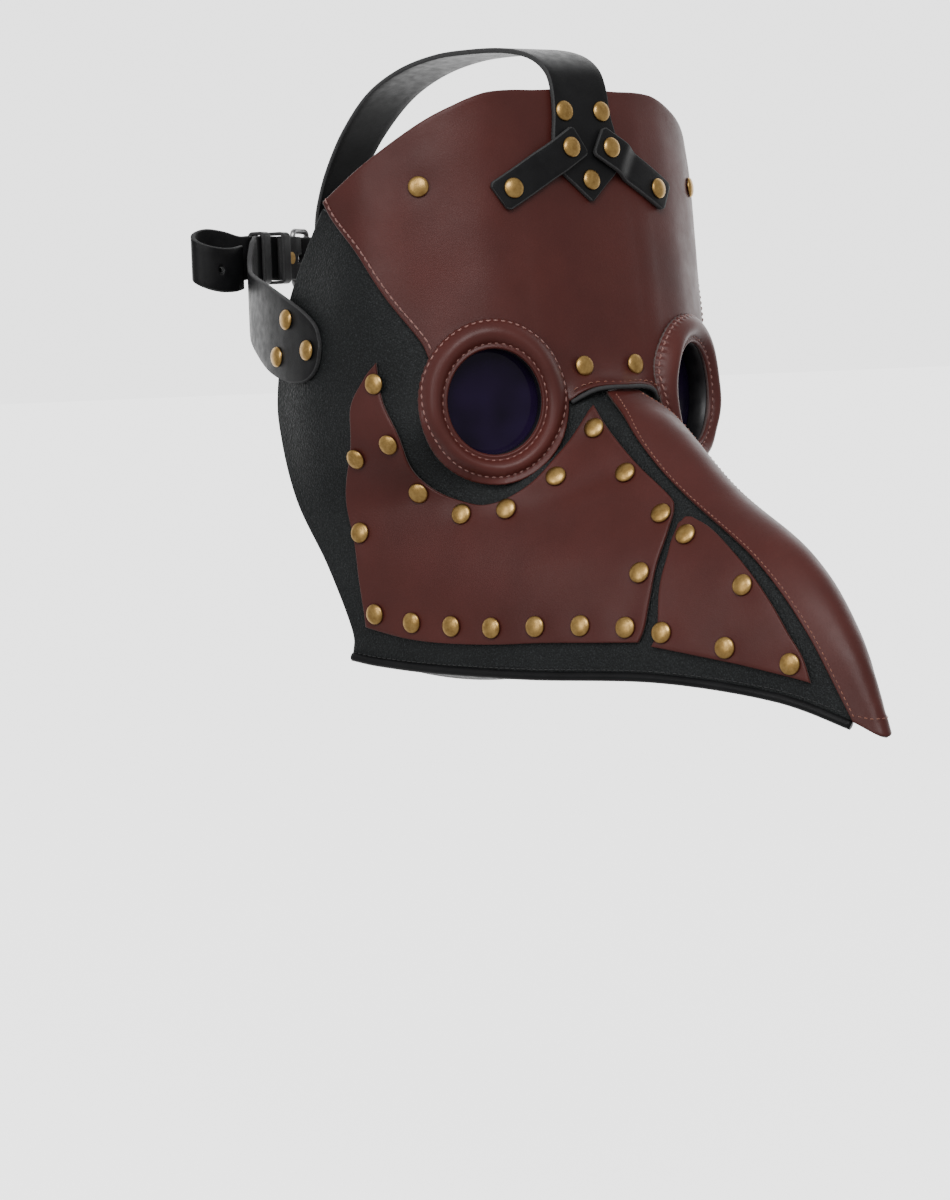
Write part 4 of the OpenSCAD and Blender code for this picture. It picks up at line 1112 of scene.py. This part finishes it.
def make_keeper(name, node, body, x, width, low, high):
    """A leather loop round both layers of strap."""
    leather, corner = 1.3, 1.4
    mid_y, half_y = (low + high) / 2, (high - low + leather) / 2
    half_z = (STRAP_W + 0.8 + leather) / 2
    spots = []
    for sy, sz, start in ((1, 1, 0), (-1, 1, 90), (-1, -1, 180), (1, -1, 270)):
        for a in np.radians(np.linspace(start, start + 90, 8)):
            spots.append((mid_y + sy * (half_y - corner) + corner * math.cos(a),
                          sz * (half_z - corner) + corner * math.sin(a)))
    spots = np.array(spots)
    centres = at_buckle(x, spots[:, 0], spots[:, 1])
    d = unit(np.roll(centres, -1, 0) - np.roll(centres, 1, 0))
    across = np.tile(TAILWARD, (len(spots), 1))
    form = Form()
    half = np.full(len(spots), width / 2)
    ribbon(form, centres, across, np.cross(across, d), half, leather, 0.4, closed=True)
    form.make(name, body, [STRAP, BLACK_EDGE], [node], "strap_leather")


# ---- Rivets ----
CAP_D, CAP_H, POST_D = 8, 1.8, 2.6


def cap_profile():
    r, lip = CAP_D / 2, 0.35
    dome = [(r * math.cos(a), lip + (CAP_H - lip) * math.sin(a)) for a in np.radians(np.linspace(0, 88, 12))]
    return [(POST_D / 2, 0), (r - 0.25, 0), (r - 0.05, 0.08), (r, 0.22)] + dome


def rivet(form, place, axis, grip, turn):
    place, axis = np.asarray(place, float), unit(np.asarray(axis, float))
    lathe(form, cap_profile(), place, axis, 32, turn)
    lathe(form, [(POST_D / 2, -grip), (POST_D / 2, 0.05)], place, axis, 16)


def washer(form, place, axis, grip):
    place, axis = np.asarray(place, float), unit(np.asarray(axis, float))
    r, t = 0.85 * CAP_D / 2, 0.8
    profile = [(r - 0.2, 0), (r, -0.2), (r, -t + 0.25), (r - 0.25, -t), (1.9, -t), (1.5, -t + 0.25),
               (0.4, -t + 0.3)]
    lathe(form, [(a, b - grip) for a, b in profile], place, axis, 28)


def make_rivets():
    cap_seat, gap = PANEL_HIGH + 0.02, 0.02
    grip = cap_seat + BASE_T + gap
    lining = 1.2
    strap_seat, arm_seat = STRAP_LIFT + STRAP_T + 0.1, ARM_LIFT + STRAP_T + 0.1
    for side, sign in SIDES.items():
        backs = Form()
        for kind, places in (("cheek", CHEEK_RIVETS), ("beak", BEAK_RIVETS)):
            caps = Form()
            for k, (s, t) in enumerate(places):
                place, axis = lifted(sign * s, t, cap_seat), skin_normal(sign * s, t)
                rivet(caps, place, axis, grip, 0.3 * k)
                washer(backs, place, axis, grip)
            node = side + "_" + kind + "_rivets"
            caps.make(node + "_brass", "mask", [BRASS], [node], "antique_brass")
        caps = Form()
        for s, t, seat in SIDE_STRAP_RIVETS:
            axis = skin_normal(sign * s, t)
            rivet(caps, lifted(sign * s, t, seat), axis, seat + BASE_T + gap, s)
            washer(backs, lifted(sign * s, t, 0), axis, BASE_T + gap)
        caps.make(side + "_strap_rivets_brass", "mask", [BRASS], [side + "_strap_rivets"], "antique_brass")
        backs.make(side + "_washers", "mask", [BRASS], [side + "_rivet_backs"], "plain_brass")
    brow, strap, backs = Form(), Form(), Form()
    for sign in (-1, 1):
        for form, (x, z), seat in ((brow, TEMPLE_RIVET, cap_seat), (brow, BRIDGE_RIVET, cap_seat),
                                   (strap, STRAP_RIVETS[0], strap_seat), (strap, STRAP_RIVETS[1], arm_seat),
                                   (strap, ARM_RIVET, strap_seat)):
            place, axis = head_point(sign * x, z, seat)
            rivet(form, place, axis, seat + lining, x)
            washer(backs, head_point(sign * x, z, 0)[0], axis, lining + gap)
    place, axis = head_point(0, TAB_RIVET[1], strap_seat)
    rivet(strap, place, axis, strap_seat + lining, 1)
    washer(backs, head_point(0, TAB_RIVET[1], 0)[0], axis, lining + gap)
    brow.make("brow_rivets_brass", "mask", [BRASS], ["brow_rivets"], "antique_brass")
    strap.make("top_strap_rivets_brass", "mask", [BRASS], ["top_strap_rivets"], "antique_brass")
    backs.make("brow_washers", "mask", [BRASS], ["brow_rivet_backs"], "plain_brass")
    loop = Form()
    rivet(loop, (0, 84, 77), (0, 1, 0), 7.7, 0)
    washer(loop, (0, 84, 77), (0, 1, 0), 7.7)
    loop.make("rear_loop_rivet_brass", "mask", [BRASS], ["rear_loop_rivet"], "antique_brass")
    for name in ("buckle_rivet",):
        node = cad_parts[name]
        node.data.materials.clear()
        node.data.materials.append(BRASS)


# ---- Studio ----
def make_light(name, place, target, size, power):
    light = bpy.data.lights.new(name, "AREA")
    light.shape = "RECTANGLE"
    light.size, light.size_y = size
    light.energy = power
    obj = bpy.data.objects.new(name, light)
    obj.location = place
    obj.rotation_euler = (Vector(target) - Vector(place)).to_track_quat("-Z", "Y").to_euler()
    bpy.context.scene.collection.objects.link(obj)


def bright_wall(tree):
    """A pale studio: a bright wall behind the mask, and less light on the side that it faces."""
    wall_starts, wall_full, front_level, wall_level = 0.2, 0.85, 0.55, 2.6
    place = tree.nodes.new("ShaderNodeTexCoord").outputs["Generated"]
    facing = tree.nodes.new("ShaderNodeVectorMath")
    facing.operation = "DOT_PRODUCT"
    facing.inputs[1].default_value = (0.6, 0.8, 0)
    level_of = tree.nodes.new("ShaderNodeMapRange")
    level_of.interpolation_type = "SMOOTHSTEP"
    for index, number in enumerate((wall_starts, wall_full, front_level, wall_level)):
        level_of.inputs[index + 1].default_value = number
    tree.links.new(place, facing.inputs[0])
    tree.links.new(facing.outputs["Value"], level_of.inputs[0])
    tree.links.new(level_of.outputs[0], tree.nodes["Background"].inputs[1])
    tree.nodes["Background"].inputs[0].default_value = (1, 1, 1, 1)


def make_studio():
    mesh = bpy.data.meshes.new("studio_floor")
    size, height = 40.0, -0.36
    corners = [(-size, -size, height), (size, -size, height), (size, size, height), (-size, size, height)]
    mesh.from_pydata(corners, [], [(0, 1, 2, 3)])
    mesh.materials.append(floor_paint())
    floor = bpy.data.objects.new("studio_floor", mesh)
    bpy.context.scene.collection.objects.link(floor)
    # The pale floor neither lights the mask nor shows in its lenses and straps.
    floor.visible_diffuse = False
    floor.visible_glossy = False
    world = bpy.data.worlds.new("studio")
    world.use_nodes = True
    bright_wall(world.node_tree)
    bpy.context.scene.world = world
    make_light("key", (-0.8, -1.2, 0.95), (0, -0.1, 0), (1.0, 0.8), 17)
    make_light("left_card", (-1.5, -0.4, 0.4), (0, -0.1, 0), (0.6, 1.0), 6)


make_camera()
make_studio()
make_forehead()
make_brow_welt()
make_bridge()
make_underside()
make_bindings()
for side_name, side_sign in SIDES.items():
    make_half(side_name, side_sign)
    make_eye(side_name, side_sign)
make_top_strap()
make_side_straps()
make_buckle()
make_keeper("fixed_keeper_leather", "fixed_keeper", "mask", 13.5, 6, -3.75, 5.35)
make_keeper("sliding_keeper_leather", "sliding_keeper", "sliding_keeper", 25.5, 6, -1.35, 3.75)
make_rivets()
